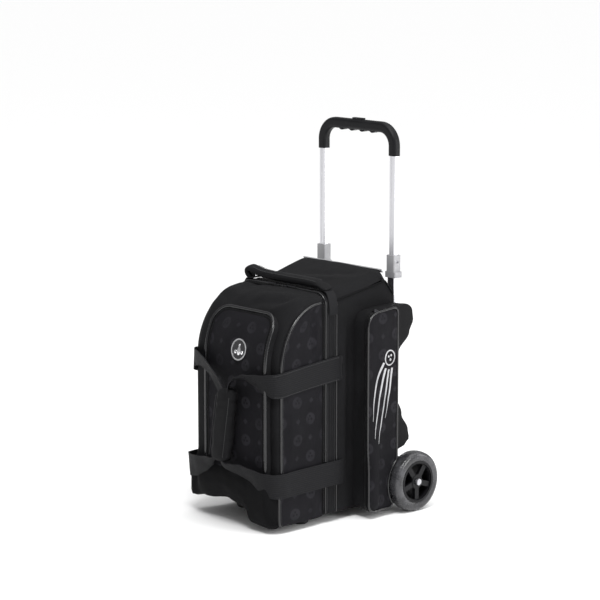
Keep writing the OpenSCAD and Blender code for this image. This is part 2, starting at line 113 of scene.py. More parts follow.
def bump(centre, width, value):
    """A soft hump, 1 at its centre."""
    return math.exp(-((value - centre) / width) ** 2)


def corner_drop(into, reach, depth=None):
    """How far a rounded corner has fallen away, into millimetres past its start. It ends at reach."""
    k = min(1.0, max(0.0, into / reach))
    return (reach if depth is None else depth) * (1 - math.sqrt(1 - k * k))


def along(stops, x):
    """Smooth value at x on a short list of (x, value) stops."""
    if x <= stops[0][0]:
        return stops[0][1]
    for (x0, v0), (x1, v1) in zip(stops, stops[1:]):
        if x <= x1:
            return mix(v0, v1, ease(x0, x1, x))
    return stops[-1][1]


def cloud(p, size, seed=0.0):
    """Smooth noise from about -1 to 1, size millimetres across."""
    return noise.noise(Vector((p[0] / size + seed, p[1] / size - seed, p[2] / size + 2 * seed)))


def crumple(p, size, amount, seed=0.0):
    """Soft wrinkles of two sizes."""
    return amount * (cloud(p, size, seed) + 0.45 * cloud(p, size * 0.42, seed + 7))


def ridge(p, a, b, width):
    """1 on the line from a to b, falling to 0 about width away from it."""
    a, b, p = Vector(a), Vector(b), Vector(p)
    t = min(1.0, max(0.0, (p - a).dot(b - a) / (b - a).length_squared))
    fade = min(1.0, 4 * t, 4 * (1 - t)) if 0 < t < 1 else 0.0
    return fade * math.exp(-((p - a.lerp(b, t)).length / width) ** 2)


def side_ridge(p, a, b, width):
    """A ridge on a side face, from (y, z) to (y, z)."""
    return ridge(p, (p.x, *a), (p.x, *b), width)


def front_ridge(p, a, b, width):
    """A ridge on the front face, from (x, z) to (x, z)."""
    return ridge(p, (a[0], p.y, a[1]), (b[0], p.y, b[1]), width)


def steps(start, end, size=ROW, fine=(), fine_size=1.2):
    """Positions from start to end about size apart, and closer together in the fine stretches."""
    count = max(1, round(abs(end - start) / size))
    found = {round(mix(start, end, i / count), 3) for i in range(count + 1)}
    for low, high in fine:
        low, high = max(low, min(start, end)), min(high, max(start, end))
        n = max(0, round((high - low) / fine_size))
        found |= {round(mix(low, high, i / n), 3) for i in range(n + 1)} if n else set()
    nearest = 0.6 * fine_size if fine else 0.3 * size
    kept = []
    for x in sorted(found):
        if not kept or x - kept[-1] > nearest:
            kept.append(x)
    kept[-1] = max(found)
    return kept if end > start else kept[::-1]


class Line:
    """A path through 3-D points, measured by its length."""

    def __init__(self, points, closed=False):
        self.points = [Vector(p) for p in points]
        if closed:
            self.points.append(self.points[0].copy())
        self.at = [0.0]
        for a, b in zip(self.points, self.points[1:]):
            self.at.append(self.at[-1] + (b - a).length)
        self.length = self.at[-1]

    def point(self, s):
        s = min(self.length, max(0.0, s))
        low, high = 0, len(self.at) - 1
        while high - low > 1:
            mid = (low + high) // 2
            if self.at[mid] <= s:
                low = mid
            else:
                high = mid
        t = (s - self.at[low]) / max(1e-9, self.at[high] - self.at[low])
        return self.points[low].lerp(self.points[high], t)

    def tangent(self, s, reach=3.0):
        return (self.point(s + reach) - self.point(s - reach)).normalized()

    def spaced(self, size):
        count = max(2, round(self.length / size))
        return [self.point(self.length * i / count) for i in range(count + 1)]


def spline(points, size, closed=False):
    """Yields (stretch, share of it, place) along a Catmull-Rom curve through the points."""
    n = len(points)
    for i in range(n if closed else n - 1):
        p1, p2 = points[i], points[(i + 1) % n]
        p0 = points[i - 1] if closed or i else p1 * 2 - p2
        p3 = points[(i + 2) % n] if closed or i + 2 < n else p2 * 2 - p1
        count = max(2, round((p2 - p1).length / size))
        for k in range(count):
            t = k / count
            yield i, t, 0.5 * (2 * p1 + (p2 - p0) * t + (2 * p0 - 5 * p1 + 4 * p2 - p3) * t ** 2
                               + (3 * p1 - p0 - 3 * p2 + p3) * t ** 3)


def directions(pts, closed):
    """Direction of a path at each of its points."""
    n = len(pts)
    found = []
    for i, p in enumerate(pts):
        ahead = pts[(i + 1) % n] if closed or i + 1 < n else p
        behind = pts[i - 1] if closed or i else p
        found.append((ahead - behind).normalized())
    return found


def curve_through(points, size=4.0, closed=False):
    """A smooth curve through given points, as a Line."""
    pts = [Vector(p) for p in points]
    out = [place for _, _, place in spline(pts, size, closed)]
    return Line(out if closed else out + [pts[-1]], closed)


def arc(cx, cy, rx, ry, a0, a1, count):
    """Points on an ellipse from angle a0 to a1, in degrees."""
    return [(cx + rx * math.cos(math.radians(mix(a0, a1, i / count))),
             cy + ry * math.sin(math.radians(mix(a0, a1, i / count)))) for i in range(count + 1)]


# ---- meshes ---------------------------------------------------------------------------

def add_object(name, data):
    obj = bpy.data.objects.new(name, data)
    bpy.context.scene.collection.objects.link(obj)
    return obj


def make_object(name, verts, faces, material, uv=None, sharp=50):
    """A smooth-shaded mesh from points in millimetres. uv holds one (u, v) in millimetres per point."""
    mesh = bpy.data.meshes.new(name)
    mesh.from_pydata([Vector(v) * MM for v in verts], [], faces)
    if uv:
        layer = mesh.uv_layers.new(name="weave")
        for loop in mesh.loops:
            layer.data[loop.index].uv = uv[loop.vertex_index]
    mesh.materials.append(material)
    mesh.validate()
    mesh.shade_smooth()
    mesh.set_sharp_from_angle(angle=math.radians(sharp))
    return add_object(name, mesh)


def ring_faces(rings, sides, closed=False, flip=False):
    """Quads between rings of points that follow each other."""
    faces = []
    for i in range(rings if closed else rings - 1):
        j = (i + 1) % rings
        for k in range(sides):
            m = (k + 1) % sides
            quad = (i * sides + k, i * sides + m, j * sides + m, j * sides + k)
            faces.append((quad[0], quad[3], quad[2], quad[1]) if flip else quad)
    return faces


def grid_normals(grid):
    rows, cols = len(grid), len(grid[0])
    normals = []
    for r in range(rows):
        line = []
        for c in range(cols):
            du = grid[r][min(c + 1, cols - 1)] - grid[r][max(c - 1, 0)]
            dv = grid[min(r + 1, rows - 1)][c] - grid[max(r - 1, 0)][c]
            n = du.cross(dv)
            line.append(n.normalized() if n.length > 1e-9 else Vector((0, 0, 1)))
        normals.append(line)
    return normals


def sheet_mesh(name, us, vs, point, thick, material, relief=None, flip=False):
    """Cloth over a grid: point(u, v) gives its outer face, and relief(p, u, v) lifts that outwards."""
    grid = [[Vector(point(u, v)) for u in us] for v in vs]
    normals = grid_normals(grid)
    sign = -1 if flip else 1
    if relief:
        for r, v in enumerate(vs):
            for c, u in enumerate(us):
                grid[r][c] = grid[r][c] + sign * normals[r][c] * relief(grid[r][c], u, v)
        normals = grid_normals(grid)
    rows, cols = len(vs), len(us)
    verts, uv = [], []
    mid_r, mid_c = rows // 2, cols // 2
    u_at, v_at = [0.0], [0.0]
    for c in range(1, cols):
        u_at.append(u_at[-1] + (grid[mid_r][c] - grid[mid_r][c - 1]).length)
    for r in range(1, rows):
        v_at.append(v_at[-1] + (grid[r][mid_c] - grid[r - 1][mid_c]).length)
    for layer in (0, 1):
        for r in range(rows):
            for c in range(cols):
                verts.append(grid[r][c] - sign * normals[r][c] * thick * layer)
                uv.append((u_at[c], v_at[r]))
    size = rows * cols
    faces = []
    for r in range(rows - 1):
        for c in range(cols - 1):
            a = r * cols + c
            quad = (a, a + 1, a + cols + 1, a + cols)
            back = tuple(size + i for i in reversed(quad))
            faces += [quad[::-1], back[::-1]] if flip else [quad, back]
    rim = list(range(cols)) + [r * cols + cols - 1 for r in range(1, rows)]
    rim += [(rows - 1) * cols + c for c in range(cols - 2, -1, -1)]
    rim += [r * cols for r in range(rows - 2, 0, -1)]
    for a, b in zip(rim, rim[1:] + rim[:1]):
        quad = (a, size + a, size + b, b)
        faces.append(quad[::-1] if flip else quad)
    return make_object(name, verts, faces, material, uv)


def tube_mesh(name, line, radius, material, sides=10, closed=False, size=4.0):
    """Round cord or piping along a Line."""
    pts = line.spaced(size)
    if closed:
        pts = pts[:-1]
    n = len(pts)
    up = Vector((0.31, 0.22, 0.92))
    verts, uv = [], []
    for i, (p, t) in enumerate(zip(pts, directions(pts, closed))):
        side = t.cross(up)
        side = side.normalized() if side.length > 1e-6 else t.orthogonal().normalized()
        up = side.cross(t).normalized()
        for k in range(sides):
            a = TURN * k / sides
            verts.append(p + radius * (math.cos(a) * side + math.sin(a) * up))
            uv.append((radius * a, size * i))
    faces = ring_faces(n, sides, closed)
    if not closed:
        faces.append(tuple(range(sides))[::-1])
        faces.append(tuple((n - 1) * sides + k for k in range(sides)))
    return make_object(name, verts, faces, material, uv)


def join_parts(name, parts, material):
    """Many small closed solids, given as (verts, faces), as one mesh."""
    verts, faces = [], []
    for v, f in parts:
        base = len(verts)
        verts += v
        faces += [tuple(base + i for i in face) for face in f]
    return make_object(name, verts, faces, material)


def block(centre, ax, ay, az, taper=0.75):
    """A small block with its far face narrower; ax, ay and az are its half extents as vectors."""
    verts = []
    for z, k in ((-1, 1.0), (1, taper)):
        for x, y in ((-1, -1), (1, -1), (1, 1), (-1, 1)):
            verts.append(centre + ax * x * k + ay * y * k + az * z)
    faces = [(3, 2, 1, 0), (4, 5, 6, 7), (0, 1, 5, 4), (1, 2, 6, 5), (2, 3, 7, 6), (3, 0, 4, 7)]
    return verts, faces


def marks(line, pitch, reach=3.0):
    """Evenly spaced places on a Line, as (number, distance along it, point, direction)."""
    for i in range(max(1, int(line.length / pitch))):
        s = (i + 0.5) * pitch
        yield i, s, line.point(s), line.tangent(s, reach)


def stitch_row(line, out, pitch=4.2, length=2.9, thick=0.45):
    """Stitches along a Line. out(point) gives the direction away from the cloth."""
    parts = []
    for _, _, p, t in marks(line, pitch):
        n = Vector(out(p)).normalized()
        b = t.cross(n).normalized()
        parts.append(block(p + n * 0.25, t * length / 2, b * thick, n * thick, 0.6))
    return parts


def lathe(name, profile, axis_point, side, material, segments=96, groove=None):
    """A profile of (radius, along) turned round an axis along X. side mirrors it in X."""
    verts, uv = [], []
    for i in range(segments):
        a = TURN * i / segments
        for r, x in profile:
            lift = groove(a, r, x) if groove else 0.0
            verts.append(Vector(axis_point) + Vector((side * x, (r + lift) * math.cos(a),
                                                      (r + lift) * math.sin(a))))
            uv.append((r * a, x))
    faces = ring_faces(segments, len(profile), True, flip=side > 0)
    return make_object(name, verts, faces, material, uv, sharp=40)


def stands_for(obj, nodes):
    """Hides the CAD nodes that a piece takes the place of."""
    if nodes:
        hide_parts(*nodes)
    return obj


def on_bag(obj, *nodes, slot=None, body="bag"):
    """Rides on a body and stands for CAD nodes; slot is not used."""
    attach(obj, body)
    return stands_for(obj, nodes)


def sew(name, parts, body="bag"):
    """Stitches of thread, as one piece."""
    on_bag(join_parts(name, parts, THREAD), slot="webbing", body=body)


def on_cover(obj, *nodes, slot=None):
    """Bakes its placement into its mesh and stands for CAD nodes."""
    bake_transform(obj)
    return stands_for(obj, nodes)


# ---- materials ------------------------------------------------------------------------

def grey(level, blue):
    """A nearly neutral colour; blue is its blue share."""
    return level, level, blue


class Paint:
    """A Principled material and short ways to add nodes to it."""

    def __init__(self, name, color, rough, metallic=0.0, **fixed):
        self.material = bpy.data.materials.new(name)
        self.material.use_nodes = True
        self.tree = self.material.node_tree
        self.shader = self.tree.nodes["Principled BSDF"]
        self.shader.inputs["Base Color"].default_value = (*color, 1)
        self.shader.inputs["Roughness"].default_value = rough
        self.shader.inputs["Metallic"].default_value = metallic
        for key, value in fixed.items():
            self.shader.inputs[key.replace("_", " ")].default_value = value

    def node(self, kind, **inputs):
        n = self.tree.nodes.new(kind)
        for key, value in inputs.items():
            self.feed(n.inputs[int(key[1:]) if key[0] == "i" and key[1:].isdigit() else key], value)
        return n

    def feed(self, socket, value):
        if isinstance(value, bpy.types.NodeSocket):
            self.tree.links.new(value, socket)
        else:
            socket.default_value = value

    def math(self, operation, a, b=0.0, c=0.0):
        n = self.node("ShaderNodeMath", i0=a, i1=b, i2=c)
        n.operation = operation
        return n.outputs[0]

    def times(self, a, b):
        return self.math("MULTIPLY", a, b)

    def plus(self, a, b):
        return self.math("ADD", a, b)

    def minus(self, a, b):
        return self.math("SUBTRACT", a, b)

    def uv(self):
        n = self.node("ShaderNodeUVMap")
        n.uv_map = "weave"
        split = self.node("ShaderNodeSeparateXYZ", Vector=n.outputs[0])
        return split.outputs[0], split.outputs[1]

    def place(self):
        return self.node("ShaderNodeTexCoord").outputs["Object"]

    def noise(self, scale, detail=3.0, rough=0.55, vector=None):
        n = self.node("ShaderNodeTexNoise", Vector=vector or self.place(), Scale=scale, Detail=detail,
                      Roughness=rough)
        return n.outputs["Fac"]

    def ramp(self, value, low, high, out_low=0.0, out_high=1.0):
        n = self.node("ShaderNodeMapRange", Value=value)
        for key, x in (("From Min", low), ("From Max", high), ("To Min", out_low), ("To Max", out_high)):
            n.inputs[key].default_value = x
        return n.outputs[0]

    def blend(self, factor, a, b):
        """Colour mix; a and b are colours."""
        n = self.tree.nodes.new("ShaderNodeMix")
        n.data_type = "RGBA"
        self.feed(n.inputs[0], factor)
        self.feed(n.inputs[6], a if isinstance(a, bpy.types.NodeSocket) else (*a, 1))
        self.feed(n.inputs[7], b if isinstance(b, bpy.types.NodeSocket) else (*b, 1))
        return n.outputs[2]

    def color(self, value):
        self.feed(self.shader.inputs["Base Color"], value)

    def rough(self, value):
        self.feed(self.shader.inputs["Roughness"], value)

    def bump(self, height, strength=0.4, distance=0.0004):
        n = self.node("ShaderNodeBump", Height=height, Strength=strength, Distance=distance)
        self.feed(self.shader.inputs["Normal"], n.outputs[0])

    def wave(self, value, pitch):
        """A smooth wave from 0 to 1 with that pitch, in the units of value."""
        return self.math("MULTIPLY_ADD", self.math("SINE", self.times(value, TURN / pitch)), 0.5, 0.5)


def weave_height(paint, pitch):
    """Over and under threads, from the cloth's own coordinates."""
    u, v = paint.uv()
    warp, weft = paint.wave(u, pitch), paint.wave(v, pitch)
    over = paint.wave(paint.plus(u, v), 2 * pitch)
    return paint.plus(paint.times(warp, over),
                      paint.times(weft, paint.minus(1.0, over)))


def cloth_paint(name, color, light, pitch=1.1, rough=0.72, sheen=0.01, strength=0.6):
    """Woven polyester: thread relief, slow random tone changes, and painted light: thread tops paler than the
    hollows.
    """
    paint = Paint(name, color, rough, Sheen_Weight=sheen, Sheen_Roughness=0.45, Specular_IOR_Level=0.09)
    height = weave_height(paint, pitch)
    cloudy = paint.noise(9.0, 4.0, 0.6)
    shade = paint.ramp(cloudy, 0.35, 0.7)
    # painted highlight and shade: the weave's height makes thread tops paler and the hollows between them
    # darker
    thread = paint.ramp(height, 0.2, 1.4, 0.0, 0.6)
    paint.color(paint.blend(paint.math("MULTIPLY_ADD", shade, 0.5, thread), color, light))
    paint.rough(paint.ramp(cloudy, 0.3, 0.7, rough - 0.08, rough + 0.1))
    fuzz = paint.noise(900.0, 2.0, 0.5)
    paint.bump(paint.math("MULTIPLY_ADD", fuzz, 0.5, height), strength, 0.0004)
    return paint.material


def motif_mask(paint, cell=76.0, ring=12.0):
    """Balls with three finger holes between small diamonds, on a staggered grid."""
    u, v = paint.uv()
    row_height = cell / 2
    shift = paint.times(paint.math("MODULO", paint.math("FLOOR", paint.math("DIVIDE", v, row_height)), 2.0),
                        row_height)

    def from_middle(value, pitch):
        """Distance from the middle of the cell that value lies in."""
        share = paint.math("FRACT", paint.math("DIVIDE", value, pitch))
        return paint.minus(paint.times(share, pitch), pitch / 2)

    cu, cv = from_middle(paint.plus(u, shift), cell), from_middle(v, row_height)

    def distance(x, y):
        dx, dy = paint.minus(cu, x), paint.minus(cv, y)
        return paint.math("SQRT", paint.plus(paint.times(dx, dx), paint.times(dy, dy)))

    disc = paint.math("LESS_THAN", distance(0.0, 0.0), ring)
    holes = paint.math("LESS_THAN", distance(0.0, 4.6), 2.3)
    for x, y in ((-3.6, -1.2), (3.6, -1.2)):
        holes = paint.math("MAXIMUM", holes, paint.math("LESS_THAN", distance(x, y), 2.3))
    ball = paint.times(disc, paint.minus(1.0, holes))
    au = paint.minus(cell / 2, paint.math("ABSOLUTE", cu))
    spread = paint.plus(au, paint.math("ABSOLUTE", cv))
    return paint.math("MAXIMUM", ball, paint.math("LESS_THAN", spread, 6.0))


def pattern_paint(name, color, light, mark):
    """The same cloth with a slightly shinier tone-on-tone print."""
    paint = Paint(name, color, 0.66, Sheen_Weight=0.01, Sheen_Roughness=0.4, Specular_IOR_Level=0.1)
    height = weave_height(paint, 1.1)
    cloudy = paint.noise(8.0, 4.0, 0.6)
    # painted highlight and shade, as in the plain cloth: the weave's height makes thread tops paler than the
    # hollows
    ground = paint.blend(paint.math("MULTIPLY_ADD", paint.ramp(cloudy, 0.35, 0.7), 0.5,
                                    paint.ramp(height, 0.2, 1.4, 0.0, 0.5)), color, light)
    mask = motif_mask(paint)
    worn = paint.ramp(paint.noise(40.0, 3.0, 0.6), 0.3, 0.6, 0.35, 1.0)
    shown = paint.times(mask, worn)
    paint.color(paint.blend(shown, ground, mark))
    paint.rough(paint.ramp(shown, 0.0, 1.0, 0.7, 0.58))
    lifted = paint.math("MULTIPLY_ADD", mask, 0.4, height)
    paint.bump(lifted, 0.5, 0.0004)
    return paint.material


def rib_paint(name, color, light, pitch, rough=0.6, across=True, strength=0.8):
    """Ribbed tape or webbing: ridges along its length, small herringbone threads across."""
    paint = Paint(name, color, rough, Sheen_Weight=0.01, Sheen_Roughness=0.35, Specular_IOR_Level=0.1)
    u, v = paint.uv()
    main, other = (u, v) if across else (v, u)
    rib = paint.wave(main, pitch)
    bent = paint.plus(other, paint.times(paint.math("ABSOLUTE", paint.minus(rib, 0.5)), 1.6))
    thread = paint.wave(bent, pitch * 0.42)
    height = paint.math("MULTIPLY_ADD", thread, 0.45, rib)
    cloudy = paint.noise(14.0, 3.0, 0.6)
    # painted highlight and shade: rib and thread height makes their tops paler than the grooves, mixed with
    # random tone
    paint.color(paint.blend(paint.times(paint.ramp(height, 0.2, 1.3),
                                       paint.ramp(cloudy, 0.3, 0.7, 0.45, 1.0)), color, light))
    paint.rough(paint.ramp(cloudy, 0.3, 0.7, rough - 0.08, rough + 0.1))
    paint.bump(height, strength, 0.0005)
    return paint.material


def moulded_paint(name, color, rough, light=None, grain=700.0, strength=0.12, **fixed):
    """Moulded plastic or rubber with a fine grain and slightly polished wear."""
    paint = Paint(name, color, rough, **fixed)
    wear = paint.noise(22.0, 5.0, 0.6)
    paint.rough(paint.ramp(wear, 0.35, 0.65, rough - 0.08, rough + 0.1))
    if light:
        paint.color(paint.blend(paint.ramp(wear, 0.4, 0.75), color, light))
    paint.bump(paint.noise(grain, 2.0, 0.5), strength, 0.0003)
    return paint.material


def metal_paint(name, color, rough, stretch=(900.0, 900.0, 9.0), strength=0.06, metallic=1.0, **fixed):
    """Metal with fine drawn lines along the stretched axis."""
    paint = Paint(name, color, rough, metallic, **fixed)
    scaled = paint.node("ShaderNodeMapping", Vector=paint.place())
    scaled.inputs["Scale"].default_value = stretch
    lines = paint.noise(1.0, 3.0, 0.6, scaled.outputs[0])
    smudge = paint.noise(18.0, 4.0, 0.6)
    paint.rough(paint.plus(paint.ramp(lines, 0.3, 0.7, rough - 0.05, rough + 0.05),
                           paint.ramp(smudge, 0.4, 0.8, 0.0, 0.08)))
    darker = tuple(0.82 * c for c in color)
    paint.color(paint.blend(paint.ramp(lines, 0.3, 0.7), darker, color))
    paint.bump(lines, strength, 0.0002)
    return paint.material


def tyre_paint(name):
    """Smoky, half translucent urethane."""
    paint = Paint(name, grey(0.035, 0.038), 0.22, Transmission_Weight=0.12, IOR=1.4, Coat_Weight=0.2,
                  Coat_Roughness=0.1)
    haze = paint.noise(26.0, 5.0, 0.65)
    paint.color(paint.blend(paint.ramp(haze, 0.38, 0.72), grey(0.018, 0.020), grey(0.085, 0.092)))
    paint.rough(paint.ramp(haze, 0.3, 0.7, 0.14, 0.38))
    paint.bump(paint.noise(160.0, 3.0, 0.6), 0.2, 0.0005)
    return paint.material


FABRIC = cloth_paint("bag_fabric", grey(0.0045, 0.005), grey(0.012, 0.0132))
DARK_FABRIC = cloth_paint("dark_fabric", grey(0.0025, 0.003), grey(0.006, 0.0065), rough=0.8, sheen=0.0)
PADDED_FABRIC = cloth_paint("padded_fabric", grey(0.005, 0.0055), grey(0.013, 0.0142), pitch=1.6)
PATTERN = pattern_paint("pattern_fabric", (0.004, 0.0038, 0.005), (0.010, 0.0095, 0.012),
                        (0.0145, 0.0138, 0.017))
BAND = rib_paint("band_tape", grey(0.004, 0.0045), grey(0.016, 0.0175), 2.4)
ZIP_TAPE = rib_paint("zip_tape", grey(0.002, 0.0025), grey(0.006, 0.0065), 1.2)
WEBBING = rib_paint("webbing", grey(0.007, 0.0078), grey(0.0155, 0.017), 2.1, rough=0.62, strength=0.5)
THREAD = moulded_paint("thread", grey(0.03, 0.032), 0.6)
PIPING = moulded_paint("piping", grey(0.006, 0.007), 0.2, grain=110.0, strength=0.14, Specular_IOR_Level=0.5)
ZIP_PLASTIC = moulded_paint("zip_teeth", grey(0.008, 0.009), 0.38)
ZIP_METAL = metal_paint("zip_metal", grey(0.05, 0.055), 0.34, (300.0, 300.0, 300.0), metallic=0.9)
BLACK_PLASTIC = moulded_paint("black_plastic", grey(0.004, 0.005), 0.42, grey(0.007, 0.008),
                              Specular_IOR_Level=0.18)
SILVER_PRINT = moulded_paint("silver_print", grey(0.30, 0.31), 0.4, grey(0.52, 0.53), grain=260.0,
                             strength=0.2)
RUBBER = moulded_paint("rubber", grey(0.012, 0.013), 0.7, grey(0.02, 0.021), strength=0.3)
GREY_PLASTIC = moulded_paint("grey_plastic", grey(0.27, 0.28), 0.4, grey(0.38, 0.39))
FOAM = moulded_paint("foam", grey(0.03, 0.032), 0.9, grey(0.05, 0.052), grain=420.0, strength=0.9)
BOARD = moulded_paint("board", grey(0.022, 0.024), 0.6, grey(0.034, 0.036), grain=240.0, strength=0.4)
ALUMINIUM = metal_paint("aluminium", grey(0.80, 0.83), 0.30, (420.0, 420.0, 2.0), 0.10)
STEEL = metal_paint("steel", grey(0.55, 0.57), 0.34, (200.0, 900.0, 900.0))
CHROME = metal_paint("chrome", grey(0.86, 0.88), 0.16, (60.0, 60.0, 60.0), 0.03)
ENAMEL = moulded_paint("enamel", grey(0.012, 0.014), 0.18, grain=60.0, strength=0.03, Coat_Weight=0.6)
TYRE = tyre_paint("tyre")

CAD_FINISH = {
    "steel": STEEL, "bright_metal": CHROME, "board": BOARD, "grey_plastic": GREY_PLASTIC,
    "badge_enamel": ENAMEL, "foam": FOAM, "piping": PIPING, "tape_fabric": BAND, "fabric": FABRIC,
    "black_plastic": BLACK_PLASTIC, "foot_rubber": RUBBER, "pattern_fabric": PATTERN,
    "zip_metal": ZIP_METAL, "webbing": WEBBING, "tube_metal": ALUMINIUM, "zip_plastic": ZIP_PLASTIC,
    "tyre": TYRE,
}
ROUNDED_EDGE = {                  # millimetres, and the CAD pieces rounded by that much
    0.3: "inner_tube_left inner_tube_right badge_disc",
    0.4: "outer_tube_left outer_tube_right zip_slider_left zip_slider_right pull_tab_left pull_tab_right"
         " pocket_slider_left pocket_slider_right",
    0.5: "axle_nuts screws", 0.6: "front_slider", 0.7: "badge_ring",
    0.8: "back_top_trim tube_collar_left tube_collar_right",
    1.0: "upper_bracket grip_front grip_rear hub_left hub_right",
    1.2: "button", 1.5: "front_feet", 2.5: "rear_base",
}


def finish_cad_nodes():
    """Procedural finishes and rounded edges on the CAD pieces that stay."""
    for name, obj in NODES.items():
        for i, old in enumerate(list(obj.data.materials)):
            obj.data.materials[i] = STEEL if name == "axle_nuts" else CAD_FINISH[old.name.split(".")[0]]
    for width, names in ROUNDED_EDGE.items():
        for name in names.split():
            edge = NODES[name].modifiers.new("rounded_edge", "BEVEL")
            edge.width = width * MM
            edge.segments = 3
            edge.limit_method = "ANGLE"
            edge.angle_limit = math.radians(35)
            edge.harden_normals = False


finish_cad_nodes()


# ---- stage, lights and camera ---------------------------------------------------------

def area_light(name, place, aim, size, power):
    data = bpy.data.lights.new(name, "AREA")
    data.shape = "RECTANGLE"
    data.size, data.size_y = size
    data.energy = power
    obj = add_object(name, data)
    obj.location = place
    obj.rotation_euler = (Vector(aim) - Vector(place)).to_track_quat("-Z", "Y").to_euler()


def make_stage():
    """A pale plain floor and a white surround."""
    mesh = bpy.data.meshes.new("floor")
    half = 60
    mesh.from_pydata([(-half, -half, 0), (half, -half, 0), (half, half, 0), (-half, half, 0)], [],
                     [(0, 1, 2, 3)])
    mesh.materials.append(Paint("floor_white", grey(0.93, 0.93), 0.9).material)
    add_object("floor", mesh)
    world = bpy.data.worlds.new("surround")
    world.use_nodes = True
    world.node_tree.nodes["Background"].inputs[0].default_value = (1, 1, 1, 1)
    world.node_tree.nodes["Background"].inputs[1].default_value = 0.42
    bpy.context.scene.world = world
    bpy.context.scene.view_settings.view_transform = "Standard"
    sky = bpy.data.lights.new("overhead", "SUN")
    sky.energy = 2.15
    sky.angle = math.radians(70)
    add_object("overhead", sky).rotation_euler = (math.radians(-8), math.radians(10), 0)
    middle = (0, 0, 0.3)
    area_light("key", (0.95, -1.1, 2.7), middle, (0.8, 0.8), 46)
    area_light("right", (3.0, 0.9, 1.3), middle, (1.2, 1.6), 46)
    area_light("rim", (2.0, 2.6, 0.9), middle, (0.5, 1.6), 16)


CAMERA_AZIMUTH, CAMERA_ELEVATION = 47.15, 10.23      # degrees round from the front, and above the floor
CAMERA_AIM = (0.04714, -0.041, 0.44834)
CAMERA_DISTANCE = 4.545
CAMERA_LENS = 135.66


def make_camera():
    """Looks from the front right, slightly down, as a long lens would."""
    azimuth, elevation = math.radians(CAMERA_AZIMUTH), math.radians(CAMERA_ELEVATION)
    back = Vector((math.sin(azimuth) * math.cos(elevation), -math.cos(azimuth) * math.cos(elevation),
                   math.sin(elevation)))
    data = bpy.data.cameras.new("camera")
    data.lens = CAMERA_LENS
    data.sensor_width = 36
    data.clip_end = 200
    camera = add_object("camera", data)
    camera.location = Vector(CAMERA_AIM) + back * CAMERA_DISTANCE
    camera.rotation_euler = (-back).to_track_quat("-Z", "Y").to_euler()
    bpy.context.scene.camera = camera


make_stage()
make_camera()


# ---- cover: front module --------------------------------------------------------------

SEAM_CENTRE = (FRONT + ARC_Y, TOP - ARC_Z)
FRONT_BOTTOM_R = 14
STRAP_LEVELS = (WEB_LO.z + 25, WEB_HI.z - 30)       # heights where the straps press on the sides


def cover_outline():
    """The cover's outer line in the middle plane: bottom, front and rolled top, as (y, z)."""
    pts = [(ZIP_Y, BOTTOM)]
    pts += arc(FRONT + FRONT_BOTTOM_R, BOTTOM + FRONT_BOTTOM_R, FRONT_BOTTOM_R, FRONT_BOTTOM_R, 270, 180, 10)
    pts += arc(*SEAM_CENTRE, ARC_Y, ARC_Z, 180, 90, 40)
    pts += [(ZIP_Y, TOP)]
    return Line([(0, y, z) for y, z in pts])


COVER = cover_outline()


def height_to_length(line, z, low=0.0):
    """How far along the cover's line the front reaches height z."""
    s = low
    while s < line.length and line.point(s).z < z:
        s += 1.0
    return s


def cover_frame(s):
    p, t = COVER.point(s), COVER.tangent(s, 4)
    return p, Vector((0, -t.z, t.y))


FOLD_S = (height_to_length(COVER, FOLD_START - 2, 150), height_to_length(COVER, FOLD_END + 2, 150))
BOTTOM_EDGE = [(-124, 17), (-80, 28), (-20, 36), (0, 31), (26, 25), (44, 19), (56, -2), (100, -4), (124, 0)]


def slump(p):
    """The front's soft bottom edge: held up at the left, sagging at the right."""
    rise = along(BOTTOM_EDGE, p.x)
    near = ease(ZIP_Y - 25, FRONT + 25, p.y)
    low = 1 - ease(BOTTOM + 18, BOTTOM + 125, p.z)
    swell = near * (1 - ease(BOTTOM + 65, BOTTOM + 120, p.z))
    return Vector((-16 * swell * ease(-40, -124, p.x), -6 * swell, rise * near * low))


def across(x, s, inset=0.0):
    """A point on the front panel: flat in the middle, rolled over at both side seams."""
    p, out = cover_frame(s)
    corner = mix(14.0, CORNER_R, ease(TOP - ARC_Z - 30, TOP - 30, p.z))
    depth = mix(SEAM_IN, SEAM_DOWN, ease(TOP - ARC_Z - 30, TOP - 20, p.z))
    roll = corner_drop(abs(x) - HALF_W + corner, corner, depth)
    return Vector((x, 0, 0)) + p - out * (roll + inset)


def front_relief(p, u, v):
    """How the front gusset swells, sags and creases."""
    flat = 1 - (abs(u) / HALF_W) ** 2
    lift = 2.5 * flat * ease(BOTTOM + 40, 250, p.z)
    lift += crumple(p, 95, 3.4, 3.1) * (0.4 + 0.6 * flat)
    lift += 1.5 * crumple(p, 34, 0.8, 9.0) * ease(TOP - 110, TOP - 40, p.z)
    lift -= 3.0 * bump(-70, 26, p.x) * bump(TOP - 6, 22, p.z)
    lift += 4.0 * ridge(p, (50, -150, 440), (112, -85, 458), 12)
    lift -= 4.2 * ridge(p, (-30, -136, 446), (96, -104, 458), 9)
    lift += 3.0 * ridge(p, (-20, -110, 460), (100, -78, 466), 10)
    lift -= 3.0 * ridge(p, (-112, -110, 458), (-60, -140, 442), 9)
    lift += 2.6 * ridge(p, (-110, -90, 466), (-20, -120, 456), 12)
    return lift


def steps_across(size, edge, edge_size):
    """Positions from side to side, closer together near both side seams."""
    return steps(-HALF_W, HALF_W, size, ((-HALF_W, -HALF_W + edge), (HALF_W - edge, HALF_W)), edge_size)


def front_panel():
    us = steps_across(5, 20, 2.5)
    vs = steps(0, COVER.length, ROW, (FOLD_S,))
    obj = sheet_mesh("front_panel", us, vs, lambda x, s: across(x, s) + slump(across(x, s)), 2.2, FABRIC,
                     front_relief)
    return on_cover(obj, "cover_lower", "cover_upper", slot="fabric")


GUARD_TOP = 113


